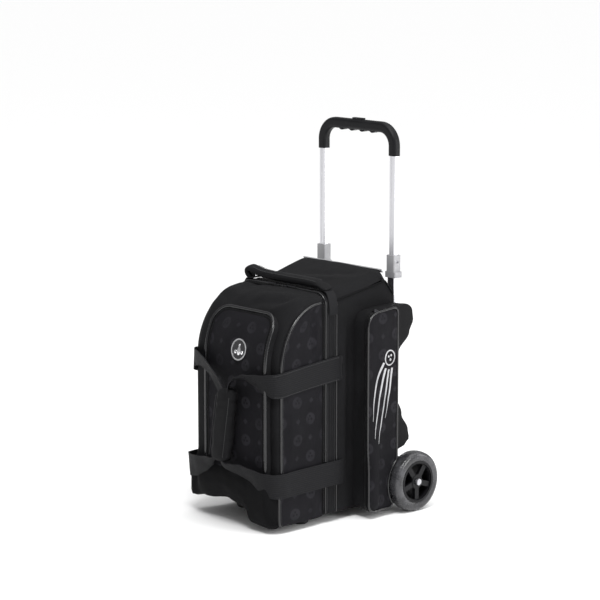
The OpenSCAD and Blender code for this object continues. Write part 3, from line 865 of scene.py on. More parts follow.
def front_guard():
    """Dark panel over the lower front, bulged out over the foot of the pocket."""
    us = steps_across(5, 20, 2.5)
    vs = steps(66, height_to_length(COVER, GUARD_TOP, 136), ROW)

    def point(x, s):
        beside = ease(POCKET_HALF + 2, POCKET_HALF + 26, abs(x - POCKET_SHIFT))
        lift = mix(2.5, mix(POCKET_OUT + 4.5, 2.5, beside), ease(98, 152, s))
        p = across(x, s, -lift)
        return p + slump(p)

    def relief(p, x, s):
        return crumple(p, 70, 1.8, 5.1) + crumple(p, 30, 0.6, 8.4)

    obj = sheet_mesh("front_guard", us, vs, point, 2.0, DARK_FABRIC, relief)
    on_bag(obj, slot="fabric")


def seam_y(z):
    """Front edge of a side panel at height z."""
    return (FRONT + SEAM_IN + corner_drop(z - SEAM_CENTRE[1], ARC_Z - SEAM_DOWN, ARC_Y - SEAM_IN)
            + corner_drop(BOTTOM + FRONT_BOTTOM_R - z, FRONT_BOTTOM_R, FRONT_BOTTOM_R - SEAM_IN))


def strap_squeeze(z):
    """1 where a strap presses on the side, 0 between the straps."""
    return max(bump(level, 30, z) for level in STRAP_LEVELS)


def side_panel(side):
    name = side_name(side)
    top = TOP - SEAM_DOWN - 0.6
    vs = steps(BOTTOM + 1, top, ROW, ((FOLD_START - 2, FOLD_END + 2), (top - 12, top)), 1.2)
    us = steps(0, 1, 0.05)

    def point(u, z):
        y = mix(seam_y(z), ZIP_Y, u)
        p = Vector((side * (HALF_W + 0.2), y, z))
        return p + slump(p) * (1 - ease(0.2, 0.9, u))

    def relief(p, u, z):
        edge = min(1.0, 5 * u, 5 * (1 - u))
        free = 1 - strap_squeeze(z)
        lift = edge * (1.2 + 3.4 * free * (1 - ease(TOP - 80, TOP - 20, z)))
        lift += edge * crumple(p, 60, 2.3, 5.5 + side) * (0.5 + free)
        lift += edge * (4.2 * side_ridge(p, (-72, 440), (-66, 345), 8)
                        - 4.4 * side_ridge(p, (-84, 440), (-82, 335), 7)
                        + 2.0 * side_ridge(p, (-130, 130), (-120, 270), 16)
                        - 1.8 * side_ridge(p, (-92, 135), (-84, 275), 12)
                        - 1.6 * side_ridge(p, (-140, 72), (-80, 30), 9))
        return lift

    obj = sheet_mesh(f"side_panel_{name}", us, vs, point, 2.0, PATTERN, relief, flip=side < 0)
    return on_cover(obj, slot="pattern_fabric")


def side_seam(side):
    name = side_name(side)
    zs = steps(BOTTOM + 1, TOP - SEAM_DOWN, 5, ((FOLD_START - 2, FOLD_END + 2), (TOP - 30, TOP - SEAM_DOWN)))
    pts = []
    for z in zs:
        p = Vector((side * (HALF_W + 0.6), seam_y(z), z))
        pts.append(p + slump(p))
    line = Line(pts)
    cord = tube_mesh(f"side_piping_{name}", line, 2.7, PIPING, size=3.0)
    on_cover(cord, slot="piping")
    inner = Line([p + Vector((0.9 * side, 5, 0)) for p in line.points if p.z < TOP - SEAM_DOWN - 22])
    sewn = join_parts(f"side_stitches_{name}", stitch_row(inner, lambda p: (side, 0, 0)), THREAD)
    on_cover(sewn, slot="webbing")


front_panel()
for direction in SIDES.values():
    side_panel(direction)
    side_seam(direction)


# ---- main zip and band ----------------------------------------------------------------

def arch_line(half, low, top, corner, y):
    """An upside-down U in the XZ plane, from the left foot over the top to the right foot."""
    pts = [(-half, y, low)]
    pts += [(x, y, z) for x, z in arc(-half + corner, top - corner, corner, corner, 180, 90, 12)]
    pts += [(x, y, z) for x, z in arc(half - corner, top - corner, corner, corner, 90, 0, 12)]
    pts.append((half, y, low))
    return Line(pts)


def arch_out(line, s):
    """Outward direction on an arch."""
    t = line.tangent(s, 2)
    return Vector((-t.z, 0, t.x))


def swept_arch(name, line, profile, material, size=5.0):
    """Sweeps an open list of (y, out) points along an arch as cloth with thickness."""
    vs = steps(0, line.length, size)
    us = range(len(profile))

    def point(u, s):
        y, out = profile[u]
        return line.point(s) + arch_out(line, s) * out + Vector((0, y, 0))

    def relief(p, u, s):
        return crumple(p, 70, 0.5, 2.2)

    return sheet_mesh(name, us, vs, point, 1.4, material, relief, flip=True)


def main_zip():
    low = BOTTOM + 12
    line = arch_line(HALF_W, low, TOP, CORNER_R, ZIP_Y)
    groove = [(-2.5, 0.9), (-0.5, 0.2), (1.5, -0.6), (4.5, -0.8), (7.5, -0.6), (9.5, 0.2), (10.5, 0.9)]
    tape = swept_arch("zip_tape", line, groove, ZIP_TAPE)
    on_bag(tape, slot="zip_plastic")
    parts = []
    for i, s, p, t in marks(line, 2.6, 2):
        out = arch_out(line, s)
        y = 3.4 if i % 2 else 5.6
        parts.append(block(p + out * 0.7 + Vector((0, y, 0)), t * 0.95, Vector((0, 1.9, 0)), out * 0.9, 0.7))
    teeth = join_parts("zip_teeth", parts, ZIP_PLASTIC)
    on_bag(teeth, "main_zip", slot="zip_plastic")


def band():
    """Ribbed tape between two rows of piping, over the top and down both sides."""
    start, end = TAPE_LO.y, TAPE_HI.y
    low = BOTTOM + 4
    line = arch_line(HALF_W, low, TOP, CORNER_R, 0)
    profile = [(start - 1.5, -0.6), (start, 1.0), (start + 2, 1.6)]
    count = 28
    for i in range(count + 1):
        y = mix(start + 4, end - 4, i / count)
        rib = 0.7 * max(0.0, math.sin(TURN * 4.0 * i / count)) ** 2
        profile.append((y, 1.7 + 1.3 * math.sin(math.pi * i / count) + rib))
    profile += [(end - 2, 1.6), (end, 1.0), (end + 1.5, -0.6)]
    tape = swept_arch("band_tape_cloth", line, profile, BAND, 6.0)
    on_bag(tape, "band_tape", slot="tape_fabric")
    for name, y in (("front", start + 1.6), ("rear", end - 1.6)):
        edge = arch_line(HALF_W + 2.2, low, TOP + 2.2, CORNER_R + 2, y)
        cord = tube_mesh(f"band_piping_{name}", edge, 1.9, PIPING, size=3.5)
        on_bag(cord, "band_piping", slot="piping")
    for name, y in (("front", start + 6.5), ("rear", end - 6.5)):
        edge = arch_line(HALF_W + 2.6, low + 4, TOP + 2.6, CORNER_R + 2, y)
        parts = []
        for _, s, p, t in marks(edge, 4.4, 2):
            out = arch_out(edge, s)
            parts.append(block(p + out * 0.35, t * 1.5, Vector((0, 0.45, 0)), out * 0.4, 0.6))
        sew(f"band_stitches_{name}", parts)


main_zip()
band()


# ---- rear body ------------------------------------------------------------------------

REAR_CORNER = 22


def rear_outline():
    """Top from the band back, over the slanted edge, down the back and under the bottom."""
    pts = [(BAND_BACK - 3, TOP - 1), (BAND_BACK + 40, TOP + 8.5), (TOP_EDGE_Y - 10, BACK_TOP - 2.2)]
    pts += [(TOP_EDGE_Y - 2, BACK_TOP - 0.6), (TOP_EDGE_Y + 3, BACK_TOP - 4)]
    pts += [(BACK - 5, SHOULDER_Z + 5), (BACK - 1, SHOULDER_Z - 4), (BACK, SHOULDER_Z - 14)]
    pts += [(BACK, BOTTOM + 14)]
    pts += arc(BACK - 14, BOTTOM + 14, 14, 14, 0, -90, 6)
    pts += [(ZIP_Y + 2, BOTTOM)]
    return Line([(0, y, z) for y, z in pts])


REAR = rear_outline()


def rear_point(x, s):
    p, t = REAR.point(s), REAR.tangent(s, 5)
    out = Vector((0, -t.z, t.y))
    upper = ease(SHOULDER_Z - 60, SHOULDER_Z + 10, p.z)
    corner = mix(12.0, REAR_CORNER, upper)
    depth = mix(9.0, 17.0, upper)
    return Vector((x, 0, 0)) + p - out * corner_drop(abs(x) - HALF_W + corner, corner, depth)


def rear_relief(p, u, v):
    flat = 1 - (abs(u) / HALF_W) ** 2
    on_top = ease(TOP - 12, TOP + 2, p.z)
    folds = (2.6 * ridge(p, (-60, 0, TOP), (90, 60, TOP + 14), 14)
             - 2.4 * ridge(p, (-30, 40, TOP + 8), (100, 90, TOP + 20), 12))
    lift = on_top * (3.4 * flat + crumple(p, 80, 2.2, 1.7) + folds)
    lift += (1 - on_top) * crumple(p, 90, 1.4, 4.4) * (0 if p.y > BACK - 4 else 1)
    return lift * (1 if p.y < BACK - 4 else 0.15)


def rear_top():
    us = steps_across(6, 24, 3)
    vs = steps(0, REAR.length, 7)
    obj = sheet_mesh("rear_panel", us, vs, rear_point, 2.4, FABRIC, rear_relief)
    return on_bag(obj, "body_shell", slot="fabric")


def rear_seam_top(y):
    """Height of the side seam: it climbs to the back edge and then drops down the slant."""
    climb = (TOP - SEAM_DOWN) + (y - BAND_BACK) * 24 / 134
    drop = SHOULDER_Z - 6 + (BACK - 9 - y) * 46 / 36
    return min(climb, drop)


def rear_side(side):
    name = side_name(side)
    ys = steps(BAND_BACK - 2, BACK - 9, ROW)
    zs = steps(0, 1, 1 / 60)

    def point(y, k):
        return Vector((side * (HALF_W + 0.1), y, mix(BOTTOM + 4, rear_seam_top(y), k)))

    def relief(p, y, k):
        edge = min(1.0, 12 * k, 12 * (1 - k)) * min(1.0, (BACK - 9 - y) / 14)
        folds = 4.2 * side_ridge(p, (3, 40), (6, 420), 9) - 5.5 * side_ridge(p, (20, 30), (19, 436), 8)
        folds += 2.4 * side_ridge(p, (30, 446), (90, 462), 10) - 2.2 * side_ridge(p, (8, 436), (60, 440), 8)
        return edge * (1.2 + folds + crumple(p, 60, 2.0, 8.1 + side))

    obj = sheet_mesh(f"rear_side_{name}", ys, zs, point, 2.0, FABRIC, relief, flip=side < 0)
    on_bag(obj, slot="fabric")
    line = Line([(side * (HALF_W + 0.4), y, rear_seam_top(y)) for y in ys])
    seam = tube_mesh(f"rear_seam_{name}", line, 2.0, DARK_FABRIC, 8)
    on_bag(seam, slot="fabric")


rear_top()
for direction in SIDES.values():
    rear_side(direction)


# ---- front pocket ---------------------------------------------------------------------

POCKET_HALF = (POCKET_HI.x - POCKET_LO.x) / 2
POCKET_SHIFT = (POCKET_HI.x + POCKET_LO.x) / 2
POCKET_OUT = FRONT - POCKET_LO.y
POCKET_TOP_R = 36
POCKET_LOW_R = 18
POCKET_S0 = height_to_length(COVER, 60, 136)
POCKET_S1 = height_to_length(COVER, POCKET_TOP - 2, 150)


def pocket_loop(inset):
    """The pocket's outline laid flat, as (x, length along the cover), from the bottom round clockwise."""
    half, low, high = POCKET_HALF - inset, POCKET_S0 + inset, POCKET_S1 - inset
    top_r, low_r = POCKET_TOP_R - inset, POCKET_LOW_R - inset * 0.8
    rise = round((high - low) / 2.4)
    pts = [(mix(0, -half + low_r, i / 10), low) for i in range(10)]
    pts += arc(-half + low_r, low + low_r, low_r, low_r, 270, 180, 8)
    pts += [(-half, mix(low + low_r, high - top_r, i / rise)) for i in range(1, rise)]
    pts += arc(-half + top_r, high - top_r, top_r, top_r, 180, 90, 14)
    pts += [(mix(-half + top_r, half - top_r, i / 20), high) for i in range(1, 20)]
    pts += arc(half - top_r, high - top_r, top_r, top_r, 90, 0, 14)
    pts += [(half, mix(high - top_r, low + low_r, i / rise)) for i in range(1, rise)]
    pts += arc(half - low_r, low + low_r, low_r, low_r, 0, -90, 8)
    pts += [(mix(half - low_r, 0, i / 10), low) for i in range(1, 11)]
    return pts


def on_front(x, s, lift):
    """A point lift millimetres out from the cover's front."""
    p, out = cover_frame(s)
    at = Vector((x + POCKET_SHIFT, 0, 0)) + p + out * lift
    return at + slump(at)


def pocket_strip(name, profile, material, slot, thick=1.2, relief=None, flip=False):
    """A strip all round the pocket. profile lists (inset from the outline, lift)."""
    insets = sorted({inset for inset, _ in profile})
    loops = {inset: pocket_loop(inset) for inset in insets}
    count = min(len(loop) for loop in loops.values())

    def point(k, i):
        inset, lift = profile[k]
        loop = loops[inset]
        x, s = loop[round(i * (len(loop) - 1) / (count - 1))]
        return on_front(x, s, lift)

    obj = sheet_mesh(name, range(len(profile)), range(count), point, thick, material, relief, flip)
    return on_cover(obj, slot=slot)


def front_pocket():
    front_guard()
    pocket_strip("front_pocket_wall", [(0, 0.5), (-0.6, 4), (-0.8, 8), (0, POCKET_OUT - 1)], FABRIC, "fabric",
                 1.4, lambda p, u, v: crumple(p, 40, 0.5, 1.1), flip=True)
    groove = [(inset, POCKET_OUT + lift) for inset, lift in ((1, -0.6), (3, -1.2), (7, -1.2), (9.5, 0.2))]
    pocket_strip("front_pocket_zip_tape", groove, ZIP_TAPE, "zip_plastic", 1.0, flip=True)
    edge = Line([on_front(x, s, POCKET_OUT + 0.6) for x, s in pocket_loop(0.4)])
    on_cover(tube_mesh("front_pocket_piping", edge, 3.3, PIPING, size=2.4), slot="piping")
    parts = []
    middle = Line([(x, s, 0) for x, s in pocket_loop(5)])
    for i, _, here, ahead in marks(middle, 2.5, 2):
        swing = Vector((-ahead.y, ahead.x, 0)) * (1.0 if i % 2 else -1.0)
        low = on_front(here.x + swing.x, here.y + swing.y, POCKET_OUT - 0.6)
        t = on_front(here.x + ahead.x, here.y + ahead.y, 0) - on_front(here.x - ahead.x, here.y - ahead.y, 0)
        t.normalize()
        out = cover_frame(here.y)[1]
        parts.append(block(low, t * 0.9, t.cross(out) * 1.7, out * 0.9, 0.7))
    on_cover(join_parts("front_pocket_teeth", parts, ZIP_PLASTIC), slot="zip_plastic")
    front_pocket_face()


def front_pocket_face():
    inset = 9
    half, low, high = POCKET_HALF - inset, POCKET_S0 + inset, POCKET_S1 - inset
    top_r, low_r = POCKET_TOP_R - inset, POCKET_LOW_R - inset * 0.8

    def half_at(s):
        return half - corner_drop(s - high + top_r, top_r) - corner_drop(low + low_r - s, low_r)

    vs = steps(low, high, 5, (FOLD_S, (high - 8, high), (low, low + 5)))
    us = steps(-1, 1, 0.06)

    def relief(p, u, s):
        edge = min(1.0, 7 * (1 - abs(u)), 0.08 * (s - low), 0.08 * (high - s))
        centre = (1 - u * u) * ease(low, low + 60, s)
        lift = 3.2 * centre + edge * crumple(p, 85, 2.0, 6.6)
        lift += edge * (1.6 * front_ridge(p, (-60, 400), (40, 330), 22)
                        - 1.5 * front_ridge(p, (-80, 300), (30, 210), 20)
                        - 1.6 * front_ridge(p, (60, 290), (72, 130), 13))
        near = math.hypot(p.x - BADGE_MIDDLE.x, p.z - BADGE_MIDDLE.z)
        return mix(lift, 0.8, 1 - ease(24, 44, near))

    def point(u, s):
        return on_front(u * half_at(s), s, POCKET_OUT + 0.2)

    obj = sheet_mesh("front_pocket_face", us, vs, point, 1.8, PATTERN, relief)
    on_cover(obj, "front_pocket_lower", "front_pocket_upper", slot="pattern_fabric")


BADGE_MIDDLE = (BADGE_LO + BADGE_HI) / 2
BADGE_LEAN = math.radians(11.5)
PIN_PROFILE = [(0, -11), (2.6, -11), (3.3, -10), (4.7, -5.5), (5.0, -3), (4.4, 0.5), (2.9, 3.6), (1.9, 5.8),
               (1.95, 6.8), (2.7, 8.6), (2.3, 10.4), (1.2, 11.3), (0, 11.5)]


def badge_emblem():
    """A plain raised bowling pin between two balls."""
    out = Vector((0, -math.cos(BADGE_LEAN), math.sin(BADGE_LEAN)))
    up = Vector((0, math.sin(BADGE_LEAN), math.cos(BADGE_LEAN)))
    base = BADGE_MIDDLE + out * 0.75
    pieces = []

    def turned(profile, middle, depth):
        verts, faces = [], []
        sides, count = 20, len(profile)
        for i in range(sides):
            a = TURN * i / sides
            for r, z in profile:
                verts.append(base + Vector((middle[0] + r * math.cos(a), 0, 0)) + up * (middle[1] + z)
                             + out * (depth * r * math.sin(a)))
        for i in range(sides):
            j = (i + 1) % sides
            for k in range(count - 1):
                faces.append((i * count + k, j * count + k, j * count + k + 1, i * count + k + 1))
        return verts, faces

    pieces.append(turned(PIN_PROFILE, (0, 0), 0.28))
    ball = [(3.9 * math.cos(math.radians(a)), 3.9 * math.sin(math.radians(a))) for a in range(-90, 91, 15)]
    for x in (-9.6, 9.6):
        pieces.append(turned(ball, (x, -5.5), 0.4))
    emblem = join_parts("badge_emblem", pieces, CHROME)
    on_bag(emblem, slot="bright_metal", body="cover")


front_pocket()
badge_emblem()


# ---- side pockets ---------------------------------------------------------------------

SIDE_X = SIDE_HI.x - 0.6
SIDE_FRONT = SIDE_LO.y + 2
SIDE_REAR = DOOR_HI.y + 24
SIDE_TOP = DOOR_HI.z + 10
WHEEL_Y = (TYRE_LO.y + TYRE_HI.y) / 2
WHEEL_Z = (TYRE_LO.z + TYRE_HI.z) / 2
WHEEL_CLEAR = (TYRE_HI.z - TYRE_LO.z) / 2 + 3.5
SIDE_LOW = BOTTOM + 0.5


def wheel_front(z):
    """How far back the pocket may reach at height z, in front of the wheel."""
    rise = abs(z - WHEEL_Z)
    if rise >= WHEEL_CLEAR:
        return SIDE_REAR
    return min(SIDE_REAR, WHEEL_Y - math.sqrt(WHEEL_CLEAR ** 2 - rise ** 2) - 1)


def side_bulge(y, z):
    """The lower rear corner swells outwards, but not where the open door lies against the tyre."""
    return 8 * ease(20, 50, y) * (1 - ease(52, 70, y)) * ease(8, 34, z) * (1 - ease(92, 160, z))


# Corner radii of the side pocket's outer panel
FRONT_TOP_R, FRONT_LOW_R, REAR_TOP_R, REAR_LOW_R = 26, 18, 12, 14


def side_front_edge(z):
    return (SIDE_FRONT + corner_drop(z - SIDE_TOP + FRONT_TOP_R, FRONT_TOP_R)
            + corner_drop(SIDE_LOW + FRONT_LOW_R - z, FRONT_LOW_R))


def side_rear_edge(z):
    y = wheel_front(z) - corner_drop(z - SIDE_TOP + REAR_TOP_R, REAR_TOP_R)
    if z >= SIDE_LOW + REAR_LOW_R:
        return y
    return min(y, SIDE_REAR - 8 - corner_drop(SIDE_LOW + REAR_LOW_R - z, REAR_LOW_R))


def side_slope(y, z):
    """The pocket's top climbs a little towards the back."""
    return z + 0.09 * (y - SIDE_FRONT) * ease(SIDE_TOP - 60, SIDE_TOP, z)


WING = [(128, 0), (138, 34), (150, 45), (168, 42), (205, 22), (250, 3), (290, 0), (335, 12), (372, 42),
        (398, 54), (416, 52), (430, 44)]


def wing(z):
    """How far the rear gusset stands behind the outer panel."""
    return along(WING, z)


def side_edge_points():
    """The outer panel's outline as (y, z), from the bottom front up, over and down the back."""
    pts = []
    front = steps(SIDE_LOW, SIDE_TOP, 6, ((SIDE_LOW, SIDE_LOW + 9), (SIDE_TOP - 12, SIDE_TOP)), 2)
    pts += [(side_front_edge(z), z) for z in front]
    y0, y1 = pts[-1][0], side_rear_edge(SIDE_TOP)
    pts += [(mix(y0, y1, i / 12), SIDE_TOP) for i in range(1, 12)]
    pts += [(side_rear_edge(z), z) for z in reversed(front)]
    y0, y1 = pts[-1][0], pts[0][0]
    pts += [(mix(y0, y1, i / 12), SIDE_LOW) for i in range(1, 13)]
    return [(y, side_slope(y, z)) for y, z in pts]


MARK_BALL = (92, 330, 15)         # middle (y, z) and radius of the printed ball
MARK_TRAILS = [[(74, 322), (58, 288), (50, 246), (48, 204)], [(80, 310), (70, 272), (60, 222), (52, 168)],
               [(90, 306), (84, 264), (74, 214), (62, 156)], [(100, 308), (97, 276), (90, 238), (82, 206)]]


def printed_ribbon(on_panel, points, widths, side, closed=False):
    """A flat printed stroke through (y, z) points, as verts and faces of a thin closed strip."""
    line = curve_through([(0, y, z) for y, z in points], 2.0, closed)
    pts = line.spaced(2.0)
    if closed:
        pts = pts[:-1]
    n = len(pts)
    verts = []
    for i, (p, t) in enumerate(zip(pts, directions(pts, closed))):
        half = along(widths, i / (n - 1)) / 2
        for sign, lift in ((-1, 0.9), (1, 0.9), (1, 0.1), (-1, 0.1)):
            verts.append(on_panel(p.y - t.z * half * sign, p.z + t.y * half * sign, lift))
    faces = ring_faces(n, 4, closed, flip=side < 0)
    if not closed:
        ends = [(0, 1, 2, 3), tuple(4 * (n - 1) + k for k in (3, 2, 1, 0))]
        faces += ends if side < 0 else [f[::-1] for f in ends]
    return verts, faces


def silver_mark(name, on_panel, side):
    """A plain print: a rolling ball with three finger holes and tapering trails."""
    cy, cz, r = MARK_BALL
    parts = []
    for radius, width, dy, dz in ((r, 2.4, 0, 0), (1.5, 2.2, -4, 3), (1.5, 2.2, 4, 4.5), (1.8, 2.4, 1.5, -4)):
        ring = [(cy + dy + radius * math.cos(TURN * i / 12), cz + dz + radius * math.sin(TURN * i / 12))
                for i in range(12)]
        parts.append(printed_ribbon(on_panel, ring, [(0, width), (1, width)], side, closed=True))
    for trail in MARK_TRAILS:
        parts.append(printed_ribbon(on_panel, trail, [(0, 5.0), (0.5, 3.2), (1, 0.5)], side))
    return join_parts(name, parts, SILVER_PRINT)


def side_pocket(side):
    name = side_name(side)
    edge = side_edge_points()
    inner_x = HALF_W + 0.8

    def gusset_point(k, i):
        y, z = edge[i]
        outer = SIDE_X + side_bulge(y, z) - 1.0
        x = mix(inner_x, outer, k)
        behind = ease(SIDE_FRONT + 50, SIDE_FRONT + 75, y)
        arch = math.sin(math.pi * min(1.0, 0.62 * (1 - k) / 0.5)) if k > 0.2 else math.sin(math.pi * 0.96)
        bow = ease(0.0, 0.2, 1 - k)
        y += wing(z) * behind * bow
        z += 2.0 * arch * ease(SIDE_TOP - 8, SIDE_TOP, z)
        return Vector((side * x, y, z))

    def gusset_relief(p, k, i):
        free = min(1.0, 5 * k, 5 * (1 - k))
        lift = free * crumple(p, 46, 1.5, 2.9 + side)
        if p.y < SIDE_FRONT + 8:
            lift += free * (1.4 * ridge(p, (p.x, p.y, 250), (p.x, p.y, 395), 20)
                            - 1.2 * ridge(p, (side * 150, p.y, 320), (side * 138, p.y, 180), 5))
        return lift

    ks = steps(0, 1, 0.0715, ((0.78, 1),), 0.03)
    gusset = sheet_mesh(f"pocket_gusset_{name}", ks, range(len(edge)), gusset_point, 1.8, FABRIC,
                        gusset_relief, flip=side < 0)
    on_bag(gusset, f"side_pocket_{name}", slot="fabric")

    hinge_y = DOOR_HI.y
    ys = steps(SIDE_FRONT, SIDE_REAR, 5, ((hinge_y - 8, hinge_y + 4),), 1.2)
    zs = steps(SIDE_LOW, SIDE_TOP, ROW, ((SIDE_LOW, SIDE_LOW + 8), (SIDE_TOP - 12, SIDE_TOP)), 2)

    def panel_point(y, z):
        front, rear = side_front_edge(z), side_rear_edge(z)
        low, high = SIDE_FRONT + 42, SIDE_REAR - 34
        if y < low:
            y = front + (y - SIDE_FRONT) * (low - front) / (low - SIDE_FRONT)
        elif y > high:
            y = high + (y - high) * (rear - high) / (SIDE_REAR - high)
        return Vector((side * (SIDE_X + side_bulge(y, z)), y, side_slope(y, z)))

    def panel_relief(p, y, z):
        front, rear = side_front_edge(z), side_rear_edge(z)
        free = min(1.0, 0.09 * max(0.0, p.y - front), 0.12 * max(0.0, rear - p.y),
                   0.06 * (z - SIDE_LOW), 0.06 * (SIDE_TOP - z))
        free *= 1 - ease(58, 72, p.y) * ease(-10, 6, z) * (1 - ease(114, 140, z))
        lift = free * (2.6 + crumple(p, 78, 2.8, 4.1 + side))
        lift += free * (1.8 * side_ridge(p, (66, 395), (80, 300), 14)
                        - 1.8 * side_ridge(p, (104, 330), (84, 220), 11)
                        + 1.5 * side_ridge(p, (60, 250), (56, 120), 12)
                        - 1.5 * side_ridge(p, (74, 190), (92, 110), 11))
        return lift

    def on_door(obj, slot, *nodes):
        """Bakes its placement into its mesh and stands for CAD nodes."""
        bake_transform(obj)
        stands_for(obj, nodes)

    panel = sheet_mesh(f"pocket_panel_{name}", ys, zs, panel_point, 1.8, PATTERN, panel_relief, flip=side < 0)
    on_door(panel, "pattern_fabric", f"pocket_door_{name}")

    def on_panel(y, z, lift):
        p = panel_point(y, z)
        return p + Vector((side * (panel_relief(p, y, z) + lift), 0, 0))

    on_door(silver_mark(f"pocket_mark_{name}", on_panel, side), "bright_metal")

    rim = Line([(side * (SIDE_X + side_bulge(y, z) + 0.6), y, z) for y, z in edge], closed=True)
    cord = tube_mesh(f"pocket_piping_{name}", rim, 2.3, PIPING, closed=True, size=2.2)
    on_door(cord, "piping")
    side_pocket_zip(side, name, edge)


def side_pocket_zip(side, name, edge):
    """Zip round the front and top of the gusset, just behind the piping."""
    run = [(y, z) for y, z in edge[:len(edge) // 2] if y < DOOR_HI.y]
    line = Line([(side * (SIDE_X - 5.5), y, z) for y, z in run])
    middle = Vector((side * SIDE_X, (SIDE_FRONT + SIDE_REAR) / 2, (SIDE_LOW + SIDE_TOP) / 2))

    def outward(p, t):
        n = Vector((0, -t.z, t.y))
        return n if n.dot(p - middle) > 0 else -n

    us = [-5, -3, -1, 1, 3, 5]
    vs = steps(0, line.length, 5)

    def point(u, s):
        p, t = line.point(s), line.tangent(s, 3)
        return p + Vector((side * u, 0, 0)) + outward(p, t) * (1.3 - 0.5 * (abs(u) < 2))

    tape = sheet_mesh(f"pocket_zip_tape_{name}", us, vs, point, 0.9, ZIP_TAPE, flip=side < 0)
    on_bag(tape, slot="zip_plastic")
    parts = []
    for i, _, p, t in marks(line, 2.5):
        out = outward(p, t)
        x = 1.0 if i % 2 else -1.0
        parts.append(block(p + out * 1.6 + Vector((side * x, 0, 0)), t * 0.9, Vector((side * 1.7, 0, 0)),
                           out * 0.8, 0.7))
    on_bag(join_parts(f"pocket_zip_teeth_{name}", parts, ZIP_PLASTIC), slot="zip_plastic")


for direction in SIDES.values():
    side_pocket(direction)


# ---- web handles, wrap and grab handle ------------------------------------------------

SIDE_STRAP_X = HALF_W + 6.6       # strap lies on the side here, over the piping
STRAP_END_X = HALF_W + 2.6        # and is sewn down here
WRAP_TILT = 22                    # how far the wrap's top leans to the right
WRAP_MIDDLE_X = (WRAP_LO.x + WRAP_HI.x) / 2 - 4
WRAP_Y = (WRAP_LO.y + WRAP_HI.y) / 2
UP = (0, 0, 1)
STRAP_HALF = 25                   # half the webbing's width


def web_end(side, z):
    """The sewn end of a strap."""
    return [((side * STRAP_END_X, 3, z), UP, STRAP_HALF)]


def web_run(side, *places):
    """Webbing flat against the side, through (y, z) places."""
    return [((side * SIDE_STRAP_X, y, z), UP, STRAP_HALF) for y, z in places]


# Listed route of each webbing loop: place, direction of its width, and half its width
RIGHT_WEB = web_end(1, 318) + web_run(1, (-10, 317), (-28, 316), (-90, 311), (-140, 306)) + [
    ((SIDE_STRAP_X - 1, -163, 303), UP, 25),
    ((122, -183, 302), (0, -0.1, 1), 24), ((99, -196, 305), (-0.1, -0.35, 0.9), 21),
    ((74, -203, 311), (0, -0.7, 0.7), 17), ((50, -208, 312), (0.2, -0.9, 0.3), 14),
    ((30, -210, 303), (0.5, -0.8, 0), 13), ((20, -210, 284), (0.6, -0.7, 0), 13),
    ((12, -209, 250), (1, -0.1, 0), 13), ((-2, -209, 180), (1, 0, 0), 13),
    ((-4, -209, 146), (0.8, -0.5, 0.1), 13), ((6, -210, 130), (0.7, -0.6, 0.5), 13),
    ((32, -208, 126), (0.2, -0.7, 0.8), 15), ((62, -203, 122), (0, -0.5, 0.9), 18),
    ((98, -198, 108), (0, -0.25, 1), 23), ((122, -185, 101), (0, -0.1, 1), 25),
] + web_run(1, (-163, 100), (-140, 101), (-90, 102), (-28, 103), (-10, 103)) + web_end(1, 103)
LEFT_WEB = web_end(-1, 318) + web_run(-1, (-10, 318), (-28, 317), (-90, 315), (-140, 316)) + [
    ((-SIDE_STRAP_X + 1, -163, 319), UP, 25),
    ((-118, -182, 324), (0.2, -0.1, 1), 24), ((-98, -194, 330), (0.3, -0.3, 0.9), 20),
    ((-70, -201, 327), (0.5, -0.4, 0.8), 16), ((-40, -206, 312), (0.6, -0.4, 0.6), 14),
    ((-14, -210, 292), (0.8, -0.3, 0.5), 13), ((4, -211, 268), (1, -0.2, 0.2), 13),
    ((6, -213, 240), (1, 0, 0), 13), ((-8, -213, 180), (1, 0, 0), 13),
    ((-14, -211, 146), (0.9, -0.2, -0.3), 13), ((-30, -209, 130), (0.5, -0.4, 0.7), 14),
    ((-62, -204, 118), (0.1, -0.3, 1), 18), ((-98, -197, 107), (0, -0.2, 1), 23),
    ((-128, -186, 103), (0, -0.1, 1), 25), ((-SIDE_STRAP_X - 7, -166, 102), (0.12, 0, 1), 25),
    ((-SIDE_STRAP_X - 5, -140, 102), (0.12, 0, 1), 25),
] + web_run(-1, (-90, 102), (-28, 103), (-10, 103)) + web_end(-1, 103)


def smooth_route(route, size=4.0):
    """Places, width directions and half widths along a listed route, as one list."""
    pts = [Vector(p) for p, _, _ in route]
    dirs = [Vector(d).normalized() for _, d, _ in route]
    halves = [w for _, _, w in route]
    out = []
    for i, t, p in spline(pts, size):
        e = ease(0, 1, t)
        out.append((p, dirs[i].lerp(dirs[i + 1], e).normalized(), mix(halves[i], halves[i + 1], e)))
    out.append((pts[-1], dirs[-1], halves[-1]))
    return out


